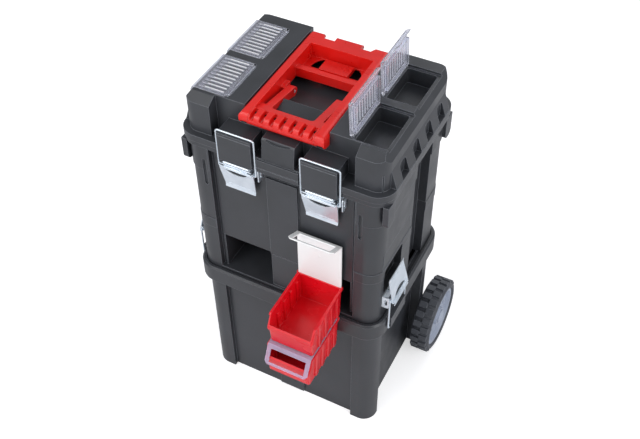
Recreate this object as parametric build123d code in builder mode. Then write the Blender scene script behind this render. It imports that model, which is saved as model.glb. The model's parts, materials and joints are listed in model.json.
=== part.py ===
from build123d import *
from math import cos, radians, sin
import os

os.makedirs("parts", exist_ok=True)

# Rolling tool case: a wheeled base bin, a tool box with a bin bay under it, and a lid
# with four small-parts trays and a red tray with a carry handle.
# The frame is in millimetres: X to the right, Y to the back, Z up from the floor.

# Overall sizes
case_width = 326
case_depth = 250
base_height = 284
box_height = 151
corner_radius = 26
wall = 3.5
fit_gap = 0.3
bore_clearance = 0.05

# Heights of the joints between the mouldings
collar_lip = 4
collar_height = 33
deck_rise = 9
slot_height = 73
post_rise = 39
apron_rise = 35
rim_height = 21
lid_rise = 63
base_seat_z = base_height
collar_top_z = base_seat_z + collar_lip
collar_bottom_z = collar_top_z - collar_height
deck_z = base_seat_z + deck_rise
slot_top_z = deck_z + slot_height
post_top_z = slot_top_z + post_rise
apron_top_z = post_top_z + apron_rise
rim_bottom_z = post_top_z + box_height
rim_top_z = rim_bottom_z + rim_height
total_height = rim_top_z + lid_rise

# Pillars and recessed panels
pillar_width = 41
face_step = 8
base_inset = 2
base_side_step = 18
channel_step = 15
channel_low_y = 3
channel_high_y = 62
pilaster_width = 52
pilaster_rise = 4
groove_width = 5
groove_depth = 2
pillar_band_height = 20
pillar_band_rise = 0.8
base_depth = case_depth - 2 * base_inset
base_side_low_y = -base_depth / 2 + 29
base_side_high_y = base_depth / 2 - 39

# Base collar
collar_rise = 9
collar_gap = 2

# Lid
rim_rise = 11
rim_overhang = 3
lid_inset = 8
lid_front_step = 20
front_facet_drop = 10
front_facet_inset = 4
side_facet_width = 9
side_facet_drop = 15
well_half_width = 60
well_depth = 42
lid_width = case_width + 2
rim_width = case_width + 2 * rim_rise
rim_depth = case_depth + 2 * rim_overhang
lid_depth = case_depth - 2 * lid_inset
lid_half = lid_width / 2
lid_front_y = -lid_depth / 2 + lid_front_step
well_floor_z = total_height - well_depth
lid_hinge_y = rim_depth / 2 + 5
lid_hinge_z = rim_bottom_z + 6
lid_hinge_x = 110

# Organiser pockets and their clear lids
pocket_width = 56
pocket_depth = 30
pocket_near_y = 7
pocket_far_y = lid_depth / 2 - 22
pocket_outer_x = lid_half - 8
pocket_inner_x = pocket_outer_x - pocket_width
pocket_floor_z = total_height - pocket_depth
organiser_hinge_x = pocket_inner_x - 1
organiser_hinge_z = total_height - 1
organiser_plate = 2.4
organiser_ribs = 10
organiser_open_angle = 93
peg_radius = 1.2

# Wheels and axle
wheel_radius = 73
wheel_width = 39
wheel_side_gap = 1.5
hub_width = 16
axle_radius = 5
tread_lugs = 24
wheel_y = base_depth / 2 - 15
hub_radius = wheel_radius - hub_width

# Trolley handle
tube_x = 62
tube_radius = 11
tube_wall = 1.5
slide_clearance = 0.3
tube_bottom_z = 62
inner_tube_bottom_z = tube_bottom_z + 14
grip_height = 24
grip_half_depth = 12
tube_y = lid_hinge_y + 6 + grip_half_depth
tube_top_z = rim_bottom_z - 56
grip_top_z = rim_bottom_z - 11

# Bin bay and bins
slot_inner_x = 25
slot_margin = 8
slot_back_y = 8
bin_width = 80
bin_length = 108
bin_height = 59
bin_wall = 2
bin_taper = 3
bin_slope_length = 14
bin_lip_drop = 26
bin_x = 64
bin_lid_thickness = 2
bin_lid_gap = 0.5
bin_flap_length = 36
bin_flap_angle = 62
bin_peg_radius = 1
bin_ribs = 4
bin_rib_pitch = 21

# Red tray and carry handle
tray_half_width = 68
tray_flange = 8
rail_inner = 53
bar_front_y = 27
bar_width = 9
bar_drop = 12
tub_depth = 24
tub_wall = 2
basin_depth = 30
arm_outer_x = 46
arm_width = 12
arm_end_radius = 7.5
pivot_pin_radius = 2.5
handle_gap = 0.5
handle_pivot_y = -10
handle_pivot_z = total_height - 26

# Toggle latches
latch_x = 69
latch_stand = 14
latch_half_width = 29
catch_half_width = 28
bail_wire = 3
bail_reach = 58.5
bail_half_width = 31.5
bail_pivot_drop = 10
bail_set_back = 1.8
bail_bend = 4
lever_length = 55
lever_foot_half_width = 26
lever_lean = 9.5
lever_lip = 0.9
sheet_metal = 1.6
pin_radius = 2
rivet_radius = 2
rivet_x = 13
rivet_drop = 13
latch_axis_z = rim_bottom_z - 8
side_latch_y = -base_depth / 2 + 55
side_latch_z = base_seat_z + 38

base_half = case_width / 2
front_y = -case_depth / 2
panel_y = front_y + face_step
base_panel_y = -base_depth / 2 + face_step
post_inner_x = base_half - pillar_width
slot_outer_x = post_inner_x - slot_margin
latch_axis_y = panel_y - latch_stand
side_latch_x = base_half + latch_stand


def save(builder, label):
    builder.part.label = label
    export_step(builder.part, "parts/" + label + ".step")


def span_box(low, high, mode=Mode.ADD):
    """A box between two opposite corners."""
    middle = [(a + b) / 2 for a, b in zip(low, high)]
    size = [b - a for a, b in zip(low, high)]
    with Locations(tuple(middle)):
        Box(*size, mode=mode)


def rounded_layer(width, depth, radius, low_z, high_z, mode=Mode.ADD):
    """A rounded rectangle about the case's centre, between two heights."""
    with BuildSketch(Plane.XY.offset(low_z)) as layer:
        RectangleRounded(width, depth, radius)
    extrude(layer.sketch, amount=high_z - low_z, mode=mode)


def pillar_outline(plane, width, depth, radius, step, side_step, side_low, side_high, inset=0.0):
    """The case's plan: four corner pillars with recessed panels between them."""
    with BuildSketch(plane) as outline:
        RectangleRounded(width, depth, radius)
        with Locations((0, -depth / 2), (0, depth / 2)):
            Rectangle(width - 2 * pillar_width, 2 * step, mode=Mode.SUBTRACT)
        with Locations((-width / 2, (side_low + side_high) / 2), (width / 2, (side_low + side_high) / 2)):
            Rectangle(2 * side_step, side_high - side_low, mode=Mode.SUBTRACT)
        if inset:
            offset(amount=-inset, kind=Kind.INTERSECTION, mode=Mode.REPLACE)
    return outline


def base_outline(z, inset=0.0):
    return pillar_outline(Plane.XY.offset(z), case_width, base_depth, corner_radius, face_step,
                          base_side_step, base_side_low_y, base_side_high_y, inset)


def upper_outline(z, inset=0.0):
    return pillar_outline(Plane.XY.offset(z), case_width, case_depth, corner_radius, face_step,
                          channel_step, channel_low_y, channel_high_y, inset)


latch_planes = {
    "front_left": Plane(origin=(-latch_x, latch_axis_y, latch_axis_z), x_dir=(1, 0, 0), z_dir=(0, -1, 0)),
    "front_right": Plane(origin=(latch_x, latch_axis_y, latch_axis_z), x_dir=(1, 0, 0), z_dir=(0, -1, 0)),
    "left_side": Plane(origin=(-side_latch_x, side_latch_y, side_latch_z), x_dir=(0, 1, 0), z_dir=(-1, 0, 0)),
    "right_side": Plane(origin=(side_latch_x, side_latch_y, side_latch_z), x_dir=(0, -1, 0), z_dir=(1, 0, 0)),
}


def side_view(plane, x):
    """The plane seen along a latch's pin: up the latch, then outwards."""
    return Plane(origin=plane.offset(0).origin + plane.x_dir * x, x_dir=plane.y_dir, z_dir=plane.x_dir)


def slab(plane, low, high, mode=Mode.ADD):
    """A box between two corners in a plane's own directions."""
    with BuildSketch(plane.offset(low[2])) as base:
        with Locations(((low[0] + high[0]) / 2, (low[1] + high[1]) / 2)):
            Rectangle(high[0] - low[0], high[1] - low[1])
    extrude(base.sketch, amount=high[2] - low[2], mode=mode)


def latch_bores(plane):
    """The rivet holes of a latch, from its plate into the wall."""
    with BuildSketch(plane.offset(-latch_stand - 6)) as bores:
        with Locations((-rivet_x, -rivet_drop), (rivet_x, -rivet_drop)):
            Circle(rivet_radius + bore_clearance)
    extrude(bores.sketch, amount=6 + sheet_metal, mode=Mode.SUBTRACT)


# Base bin
collar_width = case_width + 2 * collar_rise
collar_depth = case_depth + 2 * collar_rise
axle_boss = 13
foot_height = 4
side_catch_width = 2 * catch_half_width
side_catch_reach = 7
side_catch_low_z = side_latch_z - bail_reach + bail_wire / 2 + fit_gap
bracket_half_width = tube_x + 19
lower_bracket_low_z = 56
lower_bracket_high_z = 98
pad_face_y = base_depth / 2 + 2
upper_bracket_low_z = collar_bottom_z + 4
upper_bracket_high_z = collar_top_z - 5
screw_x = 26
screw_radius = 2.4
screw_head_radius = 4.4
screw_depth = 10
lower_screw_z = (lower_bracket_low_z + lower_bracket_high_z) / 2
upper_screw_z = (upper_bracket_low_z + upper_bracket_high_z) / 2
lower_screws = [Location((x, pad_face_y, lower_screw_z), (-90, 0, 0)) for x in (-screw_x, screw_x)]
upper_screws = [Location((x, collar_depth / 2, upper_screw_z), (-90, 0, 0)) for x in (-screw_x, screw_x)]

with BuildPart() as base_box:
    extrude(base_outline(0).sketch, amount=collar_bottom_z + wall)
    with BuildSketch(Plane.XY.offset(collar_bottom_z)):
        RectangleRounded(collar_width, collar_depth, corner_radius + collar_rise)
    extrude(amount=collar_top_z - collar_bottom_z)
    collar_edges = base_box.edges().group_by(Axis.Z)[-1]
    chamfer(collar_edges, 3)
    rounded_layer(case_width + 2 * collar_gap, case_depth + 2 * collar_gap, corner_radius + collar_gap,
                  base_seat_z, collar_top_z, Mode.SUBTRACT)
    with BuildSketch(Plane.XZ.offset(-base_panel_y)):
        with Locations((0, (foot_height + collar_bottom_z) / 2)):
            Rectangle(pilaster_width - 4, collar_bottom_z - foot_height)
    extrude(amount=pilaster_rise)
    extrude(base_outline(wall + foot_height, wall).sketch, amount=collar_bottom_z - wall - foot_height,
            mode=Mode.SUBTRACT)
    rounded_layer(case_width - 10, base_depth - 10, corner_radius - 5, collar_bottom_z + wall, base_seat_z,
                  Mode.SUBTRACT)
    inner_half = case_width / 2 - base_side_step - wall
    span_box((-inner_half, wheel_y - axle_boss, wheel_radius - axle_boss),
             (inner_half, base_depth / 2 - face_step, wheel_radius + axle_boss))
    span_box((inner_half - 1, base_side_high_y + wall - 0.5, wheel_radius - axle_boss),
             (case_width / 2 - wall + 0.5, base_depth / 2 - face_step + 1, wheel_radius + axle_boss))
    span_box((-case_width / 2 + wall - 0.5, base_side_high_y + wall - 0.5, wheel_radius - axle_boss),
             (-inner_half + 1, base_depth / 2 - face_step + 1, wheel_radius + axle_boss))
    with Locations(Location((0, wheel_y, wheel_radius), (0, 90, 0))):
        Cylinder(axle_radius + bore_clearance, case_width + 10, mode=Mode.SUBTRACT)
    span_box((-bracket_half_width, base_depth / 2 - face_step - 1, lower_bracket_low_z),
             (bracket_half_width, pad_face_y, lower_bracket_high_z))
    for side in (-1, 1):
        span_box((min(side * (collar_width / 2 - 2), side * (collar_width / 2 + side_catch_reach)),
                  side_latch_y - side_catch_width / 2, side_catch_low_z),
                 (max(side * (collar_width / 2 - 2), side * (collar_width / 2 + side_catch_reach)),
                  side_latch_y + side_catch_width / 2, collar_top_z))
    with Locations(*lower_screws, *upper_screws):
        Cylinder(screw_radius + bore_clearance, 2 * screw_depth + 1, mode=Mode.SUBTRACT)
save(base_box, "base_box")

# Bin bay: the lower moulding of the upper case, with two slots for the bins
recess_low_z = deck_z + 52
recess_high_z = post_top_z - 5
recess_low_y = front_y + 25
recess_high_y = channel_low_y - 35
recess_depth = 12
skirt_depth = 8
centre_top_z = slot_top_z + 1
chamber_x = slot_outer_x + 4
apron_front_y = front_y + 20
apron_back_y = channel_low_y - 6
apron_depth = 3

with BuildPart() as bin_bay:
    extrude(upper_outline(base_seat_z).sketch, amount=post_top_z - base_seat_z)
    extrude(pillar_outline(Plane.XY.offset(post_top_z - pillar_band_height), case_width + 2 * pillar_band_rise,
                           case_depth + 2 * pillar_band_rise, corner_radius + pillar_band_rise,
                           face_step + pillar_band_rise, channel_step + pillar_band_rise,
                           channel_low_y, channel_high_y).sketch, amount=pillar_band_height)
    for side in (-1, 1):
        span_box((min(side * base_half, side * (base_half - apron_depth)), apron_front_y, post_top_z - 5),
                 (max(side * base_half, side * (base_half - apron_depth)), apron_back_y, apron_top_z))
    rounded_layer(case_width - 12, base_depth - 12, corner_radius - 6, base_seat_z - skirt_depth, base_seat_z)
    rounded_layer(case_width - 18, base_depth - 18, corner_radius - 9, base_seat_z - skirt_depth,
                  base_seat_z, Mode.SUBTRACT)
    span_box((-pilaster_width / 2, panel_y - pilaster_rise, base_seat_z),
             (pilaster_width / 2, panel_y + 1, centre_top_z))
    span_box((-post_inner_x, front_y, base_seat_z), (post_inner_x, panel_y + 1, deck_z))
    for side in (-1, 1):
        slot_low_x = min(side * slot_inner_x, side * slot_outer_x)
        slot_high_x = max(side * slot_inner_x, side * slot_outer_x)
        span_box((slot_low_x, front_y - 5, deck_z), (slot_high_x, slot_back_y, post_top_z + 1), Mode.SUBTRACT)
        span_box((min(side * post_inner_x, side * (post_inner_x - groove_width)), front_y, deck_z),
                 (max(side * post_inner_x, side * (post_inner_x - groove_width)), panel_y + groove_depth, post_top_z),
                 Mode.SUBTRACT)
        chamber_low_x = min(side * chamber_x, side * (base_half - channel_step - wall))
        chamber_high_x = max(side * chamber_x, side * (base_half - channel_step - wall))
        span_box((chamber_low_x, panel_y + wall, base_seat_z + wall),
                 (chamber_high_x, -panel_y - wall, post_top_z + 1), Mode.SUBTRACT)
        with BuildSketch(Plane.YZ.offset(side * (base_half - recess_depth))):
            with Locations(((recess_low_y + recess_high_y) / 2, (recess_low_z + recess_high_z) / 2)):
                RectangleRounded(recess_high_y - recess_low_y, recess_high_z - recess_low_z, 5)
        extrude(amount=side * (recess_depth + 2), mode=Mode.SUBTRACT)
    span_box((-post_inner_x + fit_gap, front_y - 5, slot_top_z + fit_gap), (post_inner_x - fit_gap, slot_back_y, post_top_z + 1),
             Mode.SUBTRACT)
    span_box((-slot_inner_x + wall, panel_y + wall, base_seat_z - 1),
             (slot_inner_x - wall, slot_back_y - wall, slot_top_z - wall), Mode.SUBTRACT)
    span_box((-chamber_x + wall, slot_back_y + wall, base_seat_z + wall),
             (chamber_x - wall, -panel_y - wall, post_top_z + 1), Mode.SUBTRACT)
    latch_bores(latch_planes["left_side"])
    latch_bores(latch_planes["right_side"])
save(bin_bay, "bin_bay")

# Tool box body: an open box with its floor stepped down between the posts
band_low_z = rim_bottom_z - 46
tab_low_z = rim_bottom_z - 42
tab_width = 22
tab_reach = 9
tab_y = case_depth / 2 - 16
knuckle_radius = 4.5
knuckle_length = 12
knuckle_gap = 0.4
knuckle_front_y = lid_hinge_y - knuckle_radius + 0.1

with BuildPart() as tool_box_body:
    extrude(upper_outline(post_top_z).sketch, amount=rim_bottom_z - post_top_z)
    extrude(pillar_outline(Plane.XY.offset(band_low_z), case_width + 4, case_depth + 1, corner_radius + 1,
                           face_step + 0.5, channel_step + 2, channel_low_y, channel_high_y).sketch,
            amount=rim_bottom_z - band_low_z)
    span_box((-post_inner_x + 2 * fit_gap, panel_y, slot_top_z + 2 * fit_gap),
             (post_inner_x - 2 * fit_gap, slot_back_y - fit_gap, post_top_z))
    span_box((-pilaster_width / 2, panel_y - pilaster_rise, centre_top_z + fit_gap),
             (pilaster_width / 2, panel_y + 1, latch_axis_z - 14))
    extrude(upper_outline(post_top_z + wall, wall).sketch, amount=rim_bottom_z - post_top_z, mode=Mode.SUBTRACT)
    span_box((-post_inner_x + wall + 1, panel_y + wall, slot_top_z + wall + 1),
             (post_inner_x - wall - 1, slot_back_y - wall, post_top_z + wall + 1), Mode.SUBTRACT)
    for side in (-1, 1):
        span_box((min(side * post_inner_x, side * (post_inner_x - groove_width)), front_y, slot_top_z),
                 (max(side * post_inner_x, side * (post_inner_x - groove_width)), panel_y + groove_depth, rim_bottom_z),
                 Mode.SUBTRACT)
        with BuildSketch(Plane.XZ.offset(-front_y - 2.6)):
            with Locations((side * (post_inner_x + 9), rim_bottom_z - 50)):
                SlotOverall(52, 6, rotation=90)
        extrude(amount=6, mode=Mode.SUBTRACT)
        seat_x = base_half - apron_depth - fit_gap
        span_box((min(side * (seat_x - wall), side * seat_x), apron_front_y - 5, post_top_z),
                 (max(side * (seat_x - wall), side * seat_x), apron_back_y + 3, apron_top_z + 4))
        span_box((min(side * seat_x, side * (base_half + 1)), apron_front_y - fit_gap, post_top_z - 1),
                 (max(side * seat_x, side * (base_half + 1)), apron_back_y + fit_gap, apron_top_z + fit_gap),
                 Mode.SUBTRACT)
        with BuildSketch(Plane.YZ.offset(side * base_half)):
            for tab_side in (-1, 1):
                with Locations((tab_side * tab_y, (tab_low_z + rim_bottom_z) / 2)):
                    Rectangle(tab_width, rim_bottom_z - tab_low_z)
        extrude(amount=side * tab_reach)
    tab_ends = tool_box_body.edges().filter_by(Axis.X).filter_by(
        lambda edge: abs(edge.center().Z - tab_low_z) < 0.1)
    fillet(tab_ends, tab_width * 0.4)
    for side in (-1, 1):
        for offset_x in (-1, 1):
            centre_x = side * lid_hinge_x + offset_x * (knuckle_length + knuckle_gap)
            with BuildSketch(Plane.YZ.offset(centre_x - knuckle_length / 2)):
                with Locations((lid_hinge_y, lid_hinge_z)):
                    Circle(knuckle_radius)
                with BuildLine():
                    Polyline((-panel_y - 2, rim_bottom_z - 26), (-panel_y - 2, rim_bottom_z),
                             (knuckle_front_y, rim_bottom_z), (knuckle_front_y, lid_hinge_z),
                             (lid_hinge_y + knuckle_radius, lid_hinge_z),
                             (lid_hinge_y + knuckle_radius, rim_bottom_z - 4), close=True)
                make_face()
            extrude(amount=knuckle_length)
        with Locations(Location((side * lid_hinge_x, lid_hinge_y, lid_hinge_z), (0, 90, 0))):
            Cylinder(pin_radius + bore_clearance, 4 * knuckle_length, mode=Mode.SUBTRACT)
    latch_bores(latch_planes["front_left"])
    latch_bores(latch_planes["front_right"])
save(tool_box_body, "tool_box_body")

# Lid
catch_top_z = latch_axis_z + bail_reach - bail_wire / 2 - fit_gap
catch_low_z = rim_bottom_z - 2.5
catch_front_y = latch_axis_y - 3
catch_lip = 4
rim_layer = 9
rim_layer_step = 1.5
centre_block_half = pilaster_width / 2 + 0.3
centre_block_top_z = rim_top_z + 37
centre_block_front_y = -rim_depth / 2
rim_band_half = centre_block_half + 8
rim_band_front_y = centre_block_front_y - 3
rim_band_low_z = rim_bottom_z - 4
rim_band_top_z = rim_top_z - 2
front_recess_half = lid_half - 47
front_block_back_y = -rim_depth / 2 + 1
facet_back_y = lid_front_y - front_facet_inset
groove_half = 2.6
groove_length = pocket_far_y - pocket_near_y - 12
gusset_pitch = 45
gusset_pocket_width = 22
gusset_pocket_top_z = rim_top_z + 20
gusset_low_y = -lid_depth / 2 + 18
gusset_high_y = lid_depth / 2 - 20
gusset_first_y = gusset_low_y + 33
gusset_pockets = 4
tray_back_y = lid_depth / 2 - 5

with BuildPart() as lid_shell:
    rounded_layer(rim_width - 2 * rim_layer_step, rim_depth - 2 * rim_layer_step, 30 - rim_layer_step,
                  rim_bottom_z + fit_gap, rim_bottom_z + rim_layer)
    rounded_layer(rim_width, rim_depth, 30, rim_bottom_z + rim_layer, rim_top_z)
    rounded_layer(lid_width, lid_depth, 20, rim_top_z, total_height)
    # Flared side walls with arched pockets between their gussets
    for side in (-1, 1):
        with BuildSketch(Plane.XZ.offset(-gusset_high_y)):
            with BuildLine():
                Polyline((side * (lid_half - 1), rim_top_z - 0.5), (side * (rim_width / 2 - 1), rim_top_z - 0.5),
                         (side * (rim_width / 2 - 1), rim_top_z + 2), (side * lid_half, rim_top_z + 31),
                         (side * (lid_half - 1), rim_top_z + 31), close=True)
            make_face()
        extrude(amount=gusset_high_y - gusset_low_y)
        for n in range(gusset_pockets):
            with BuildSketch(Plane.YZ.offset(side * (lid_half + 0.2))):
                with Locations((gusset_first_y + n * gusset_pitch, (rim_top_z + gusset_pocket_top_z) / 2)):
                    Rectangle(gusset_pocket_width, gusset_pocket_top_z - rim_top_z)
                with Locations((gusset_first_y + n * gusset_pitch, gusset_pocket_top_z)):
                    SlotOverall(gusset_pocket_width, 12)
            extrude(amount=side * rim_rise, mode=Mode.SUBTRACT)
    with BuildSketch(Plane.YZ):
        with BuildLine():
            Polyline((-lid_depth / 2 - 1, total_height + 1), (facet_back_y, total_height + 1),
                     (facet_back_y, total_height), (-lid_depth / 2 - 1, total_height - front_facet_drop),
                     close=True)
        make_face()
    extrude(amount=rim_width / 2, both=True, mode=Mode.SUBTRACT)
    for side in (-1, 1):
        with BuildSketch(Plane.XZ):
            with BuildLine():
                Polyline((side * (lid_half - side_facet_width), total_height + 1), (side * (lid_half + 1), total_height + 1),
                         (side * (lid_half + 1), total_height - side_facet_drop - 1.5),
                         (side * (lid_half - side_facet_width), total_height), close=True)
            make_face()
        extrude(amount=rim_width / 2, both=True, mode=Mode.SUBTRACT)
    span_box((-front_recess_half, -rim_depth / 2, rim_top_z), (front_recess_half, lid_front_y, total_height + 1),
             Mode.SUBTRACT)
    for centre_x in (-latch_x, latch_x):
        span_box((centre_x - catch_half_width, catch_front_y, catch_low_z),
                 (centre_x + catch_half_width, lid_front_y + 1, catch_top_z))
        span_box((centre_x - catch_half_width, catch_front_y, catch_top_z - catch_lip - 1),
                 (centre_x + catch_half_width, catch_front_y + 0.8, catch_top_z - catch_lip), Mode.SUBTRACT)
        for leg in (-1, 1):
            leg_x = centre_x + leg * bail_half_width
            span_box((leg_x - bail_wire / 2 - 0.6, -rim_depth / 2 - 1, rim_bottom_z),
                     (leg_x + bail_wire / 2 + 0.6, -rim_depth / 2 + 0.8, rim_top_z + 1), Mode.SUBTRACT)
    # Centre block with its curved step, and the thicker band of rim under it
    with BuildSketch(Plane.YZ.offset(-centre_block_half)):
        with BuildLine():
            Polyline((lid_front_y + 1, rim_top_z - 1), (centre_block_front_y, rim_top_z - 1),
                     (centre_block_front_y + 3.5, centre_block_top_z - 2), (centre_block_front_y + 5.5, centre_block_top_z),
                     (lid_front_y + 1, centre_block_top_z), close=True)
        make_face()
    extrude(amount=2 * centre_block_half)
    with BuildSketch(Plane.XZ.offset(-centre_block_front_y - 4.8)):
        with BuildLine():
            ThreePointArc((-20, centre_block_top_z - 2), (0, centre_block_top_z - 7), (20, centre_block_top_z - 2))
            Polyline((20, centre_block_top_z - 2), (20, centre_block_top_z + 1), (-20, centre_block_top_z + 1),
                     (-20, centre_block_top_z - 2))
        make_face()
    extrude(amount=6, mode=Mode.SUBTRACT)
    span_box((-rim_band_half, rim_band_front_y, rim_band_low_z),
             (rim_band_half, front_block_back_y + 2, rim_band_top_z))
    span_box((-rim_band_half, rim_band_front_y, rim_bottom_z + 3),
             (rim_band_half, rim_band_front_y + 1, rim_bottom_z + 4.5), Mode.SUBTRACT)
    span_box((-front_recess_half, front_block_back_y, rim_band_low_z - 1),
             (front_recess_half, front_block_back_y + 30, rim_bottom_z + fit_gap), Mode.SUBTRACT)
    # Hollow underside
    span_box((-lid_half + 6, lid_front_y + 6, rim_bottom_z - 1), (lid_half - 6, lid_depth / 2 - 5, well_floor_z - wall),
             Mode.SUBTRACT)
    for side in (-1, 1):
        near_x = side * (front_recess_half + 4)
        far_x = side * (lid_half - 6)
        span_box((min(near_x, far_x), -lid_depth / 2 + 5, rim_bottom_z - 1), (max(near_x, far_x), lid_front_y + 7, rim_top_z + 30),
                 Mode.SUBTRACT)
        pocket_x = side * (pocket_inner_x + pocket_outer_x) / 2
        span_box((pocket_x - 26, -pocket_far_y, well_floor_z - wall - 1), (pocket_x + 26, pocket_far_y, pocket_floor_z - wall),
                 Mode.SUBTRACT)
        for end in (-1, 1):
            pocket_y = end * (pocket_near_y + pocket_far_y) / 2
            with BuildSketch(Plane.XY.offset(total_height - 4)):
                with Locations((pocket_x + side * 3, pocket_y)):
                    Rectangle(pocket_outer_x - pocket_inner_x + 6, pocket_far_y - pocket_near_y)
            extrude(amount=5, mode=Mode.SUBTRACT)
            span_box((side * organiser_hinge_x - groove_half, pocket_y - groove_length / 2, organiser_hinge_z - 2.3),
                     (side * organiser_hinge_x + groove_half, pocket_y + groove_length / 2, total_height + 1),
                     Mode.SUBTRACT)
            with Locations(Location((side * organiser_hinge_x, pocket_y, organiser_hinge_z), (90, 0, 0))):
                Cylinder(peg_radius + bore_clearance, groove_length + 8, mode=Mode.SUBTRACT)
            with BuildSketch(Plane.XY.offset(pocket_floor_z)):
                with Locations((pocket_x, pocket_y)):
                    RectangleRounded(pocket_outer_x - pocket_inner_x - 8, pocket_far_y - pocket_near_y - 8, 4)
            extrude(amount=total_height - pocket_floor_z, mode=Mode.SUBTRACT)
    # Seat of the red tray
    span_box((-tray_half_width - fit_gap, -rim_depth, total_height - tray_flange - fit_gap),
             (tray_half_width + fit_gap, rim_depth, total_height + 1), Mode.SUBTRACT)
    span_box((-well_half_width - fit_gap, lid_front_y + wall, well_floor_z), (well_half_width + fit_gap, lid_depth / 2 - 22, total_height),
             Mode.SUBTRACT)
    span_box((-tray_half_width - fit_gap, tray_back_y - 13, total_height - 30), (tray_half_width + fit_gap, lid_depth / 2 + 1, total_height),
             Mode.SUBTRACT)
    # Hinge knuckles
    for side in (-1, 1):
        with BuildSketch(Plane.YZ.offset(side * lid_hinge_x - knuckle_length / 2)):
            with Locations((lid_hinge_y, lid_hinge_z)):
                Circle(knuckle_radius)
            with BuildLine():
                Polyline((rim_depth / 2 - 2, rim_bottom_z + fit_gap), (rim_depth / 2, rim_bottom_z + fit_gap),
                         (lid_hinge_y - 2, lid_hinge_z - 4),
                         (lid_hinge_y, lid_hinge_z + knuckle_radius), (rim_depth / 2 - 2, rim_top_z - 4), close=True)
            make_face()
        extrude(amount=knuckle_length)
        with Locations(Location((side * lid_hinge_x, lid_hinge_y, lid_hinge_z), (0, 90, 0))):
            Cylinder(pin_radius + bore_clearance, 4 * knuckle_length, mode=Mode.SUBTRACT)
save(lid_shell, "lid_shell")

with BuildPart() as lid_hinge_pins:
    for side in (-1, 1):
        with Locations(Location((side * lid_hinge_x, lid_hinge_y, lid_hinge_z), (0, 90, 0))):
            Cylinder(pin_radius, 3 * knuckle_length + 2)
save(lid_hinge_pins, "lid_hinge_pins")

# Wheels
bore_radius = axle_radius + bore_clearance
wheel_inner_x = base_half + wheel_side_gap
wheel_outer_x = wheel_inner_x + wheel_width
tread_height = 4
tyre_seat = 0.05
axle_half = wheel_outer_x - 6

with BuildPart() as axle:
    with Locations(Location((0, wheel_y, wheel_radius), (0, 90, 0))):
        Cylinder(axle_radius, 2 * axle_half)
    chamfer(axle.edges().filter_by(GeomType.CIRCLE), 1)
save(axle, "axle")

for side, side_name in ((-1, "left"), (1, "right")):
    spin_plane = Plane(origin=(side * wheel_inner_x, wheel_y, wheel_radius), x_dir=(0, 1, 0), z_dir=(side, 0, 0))
    profile_plane = Plane(origin=spin_plane.origin, x_dir=(side, 0, 0), z_dir=(0, -side, 0))

    with BuildPart() as tyre:
        with BuildSketch(profile_plane):
            with BuildLine():
                Polyline((5, hub_radius), (1, hub_radius + 3), (1, wheel_radius - 9))
                ThreePointArc((1, wheel_radius - 9), (wheel_width / 2, wheel_radius - tread_height),
                              (wheel_width - 1, wheel_radius - 9))
                Polyline((wheel_width - 1, wheel_radius - 9), (wheel_width - 1, hub_radius + 3),
                         (wheel_width - 5, hub_radius), (5, hub_radius))
            make_face()
        revolve(axis=Axis(spin_plane.origin, (1, 0, 0)))
        for row, turn in ((0.3, 0), (0.7, 0.5)):
            lug_plane = spin_plane.offset(wheel_width * row)
            with BuildSketch(lug_plane):
                with PolarLocations(wheel_radius - 4.5, tread_lugs, turn * 360 / tread_lugs):
                    Rectangle(8.5, 11)
            extrude(amount=wheel_width * 0.19, both=True)
        with BuildSketch(spin_plane):
            Circle(wheel_radius + 5)
            Circle(wheel_radius - 0.3, mode=Mode.SUBTRACT)
        extrude(amount=wheel_width, mode=Mode.SUBTRACT)
    save(tyre, side_name + "_tyre")

    with BuildPart() as wheel_hub:
        with BuildSketch(profile_plane):
            with BuildLine():
                Polyline((0, bore_radius), (0, 13), (8, 13), (20, 15), (20, hub_radius - 8), (4, hub_radius - 5),
                         (4, hub_radius - tyre_seat), (wheel_width - 4, hub_radius - tyre_seat),
                         (wheel_width - 4, hub_radius - 5), (wheel_width - 12, hub_radius - 9), (wheel_width - 12, 19),
                         (wheel_width - 4, 17), (wheel_width - 4, 14), (wheel_width - 9, 14),
                         (wheel_width - 9, bore_radius), close=True)
            make_face()
        revolve(axis=Axis(spin_plane.origin, (1, 0, 0)))
        with BuildSketch(spin_plane.offset(wheel_width)):
            with PolarLocations(35, 9):
                Circle(4)
        extrude(amount=-wheel_width, mode=Mode.SUBTRACT)
    save(wheel_hub, side_name + "_wheel_hub")

    with BuildPart() as hub_cap:
        with BuildSketch(profile_plane):
            with BuildLine():
                Polyline((wheel_width - 5, 0), (wheel_width - 5, 13.7), (wheel_width - 2, 13.7), (wheel_width, 9),
                         (wheel_width, 0), close=True)
            make_face()
        revolve(axis=Axis(spin_plane.origin, (1, 0, 0)))
    save(hub_cap, side_name + "_hub_cap")

# Trolley handle
inner_tube_radius = tube_radius - tube_wall - slide_clearance
inner_tube_wall = 1.2
grip_low_z = grip_top_z - grip_height
grip_half_length = tube_x + 14
rod_radius = 2.5
button_travel = 4
rod_bar_z = grip_low_z + 4 + rod_radius + button_travel + 0.5
button_half_width = 14
button_rise = button_travel + 0.5

with BuildPart() as trolley_outer_tubes:
    for side in (-1, 1):
        with BuildSketch(Plane.XY.offset(tube_bottom_z)):
            with Locations((side * tube_x, tube_y)):
                Circle(tube_radius)
                Circle(tube_radius - tube_wall, mode=Mode.SUBTRACT)
        extrude(amount=tube_top_z - tube_bottom_z)
save(trolley_outer_tubes, "trolley_outer_tubes")

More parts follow.
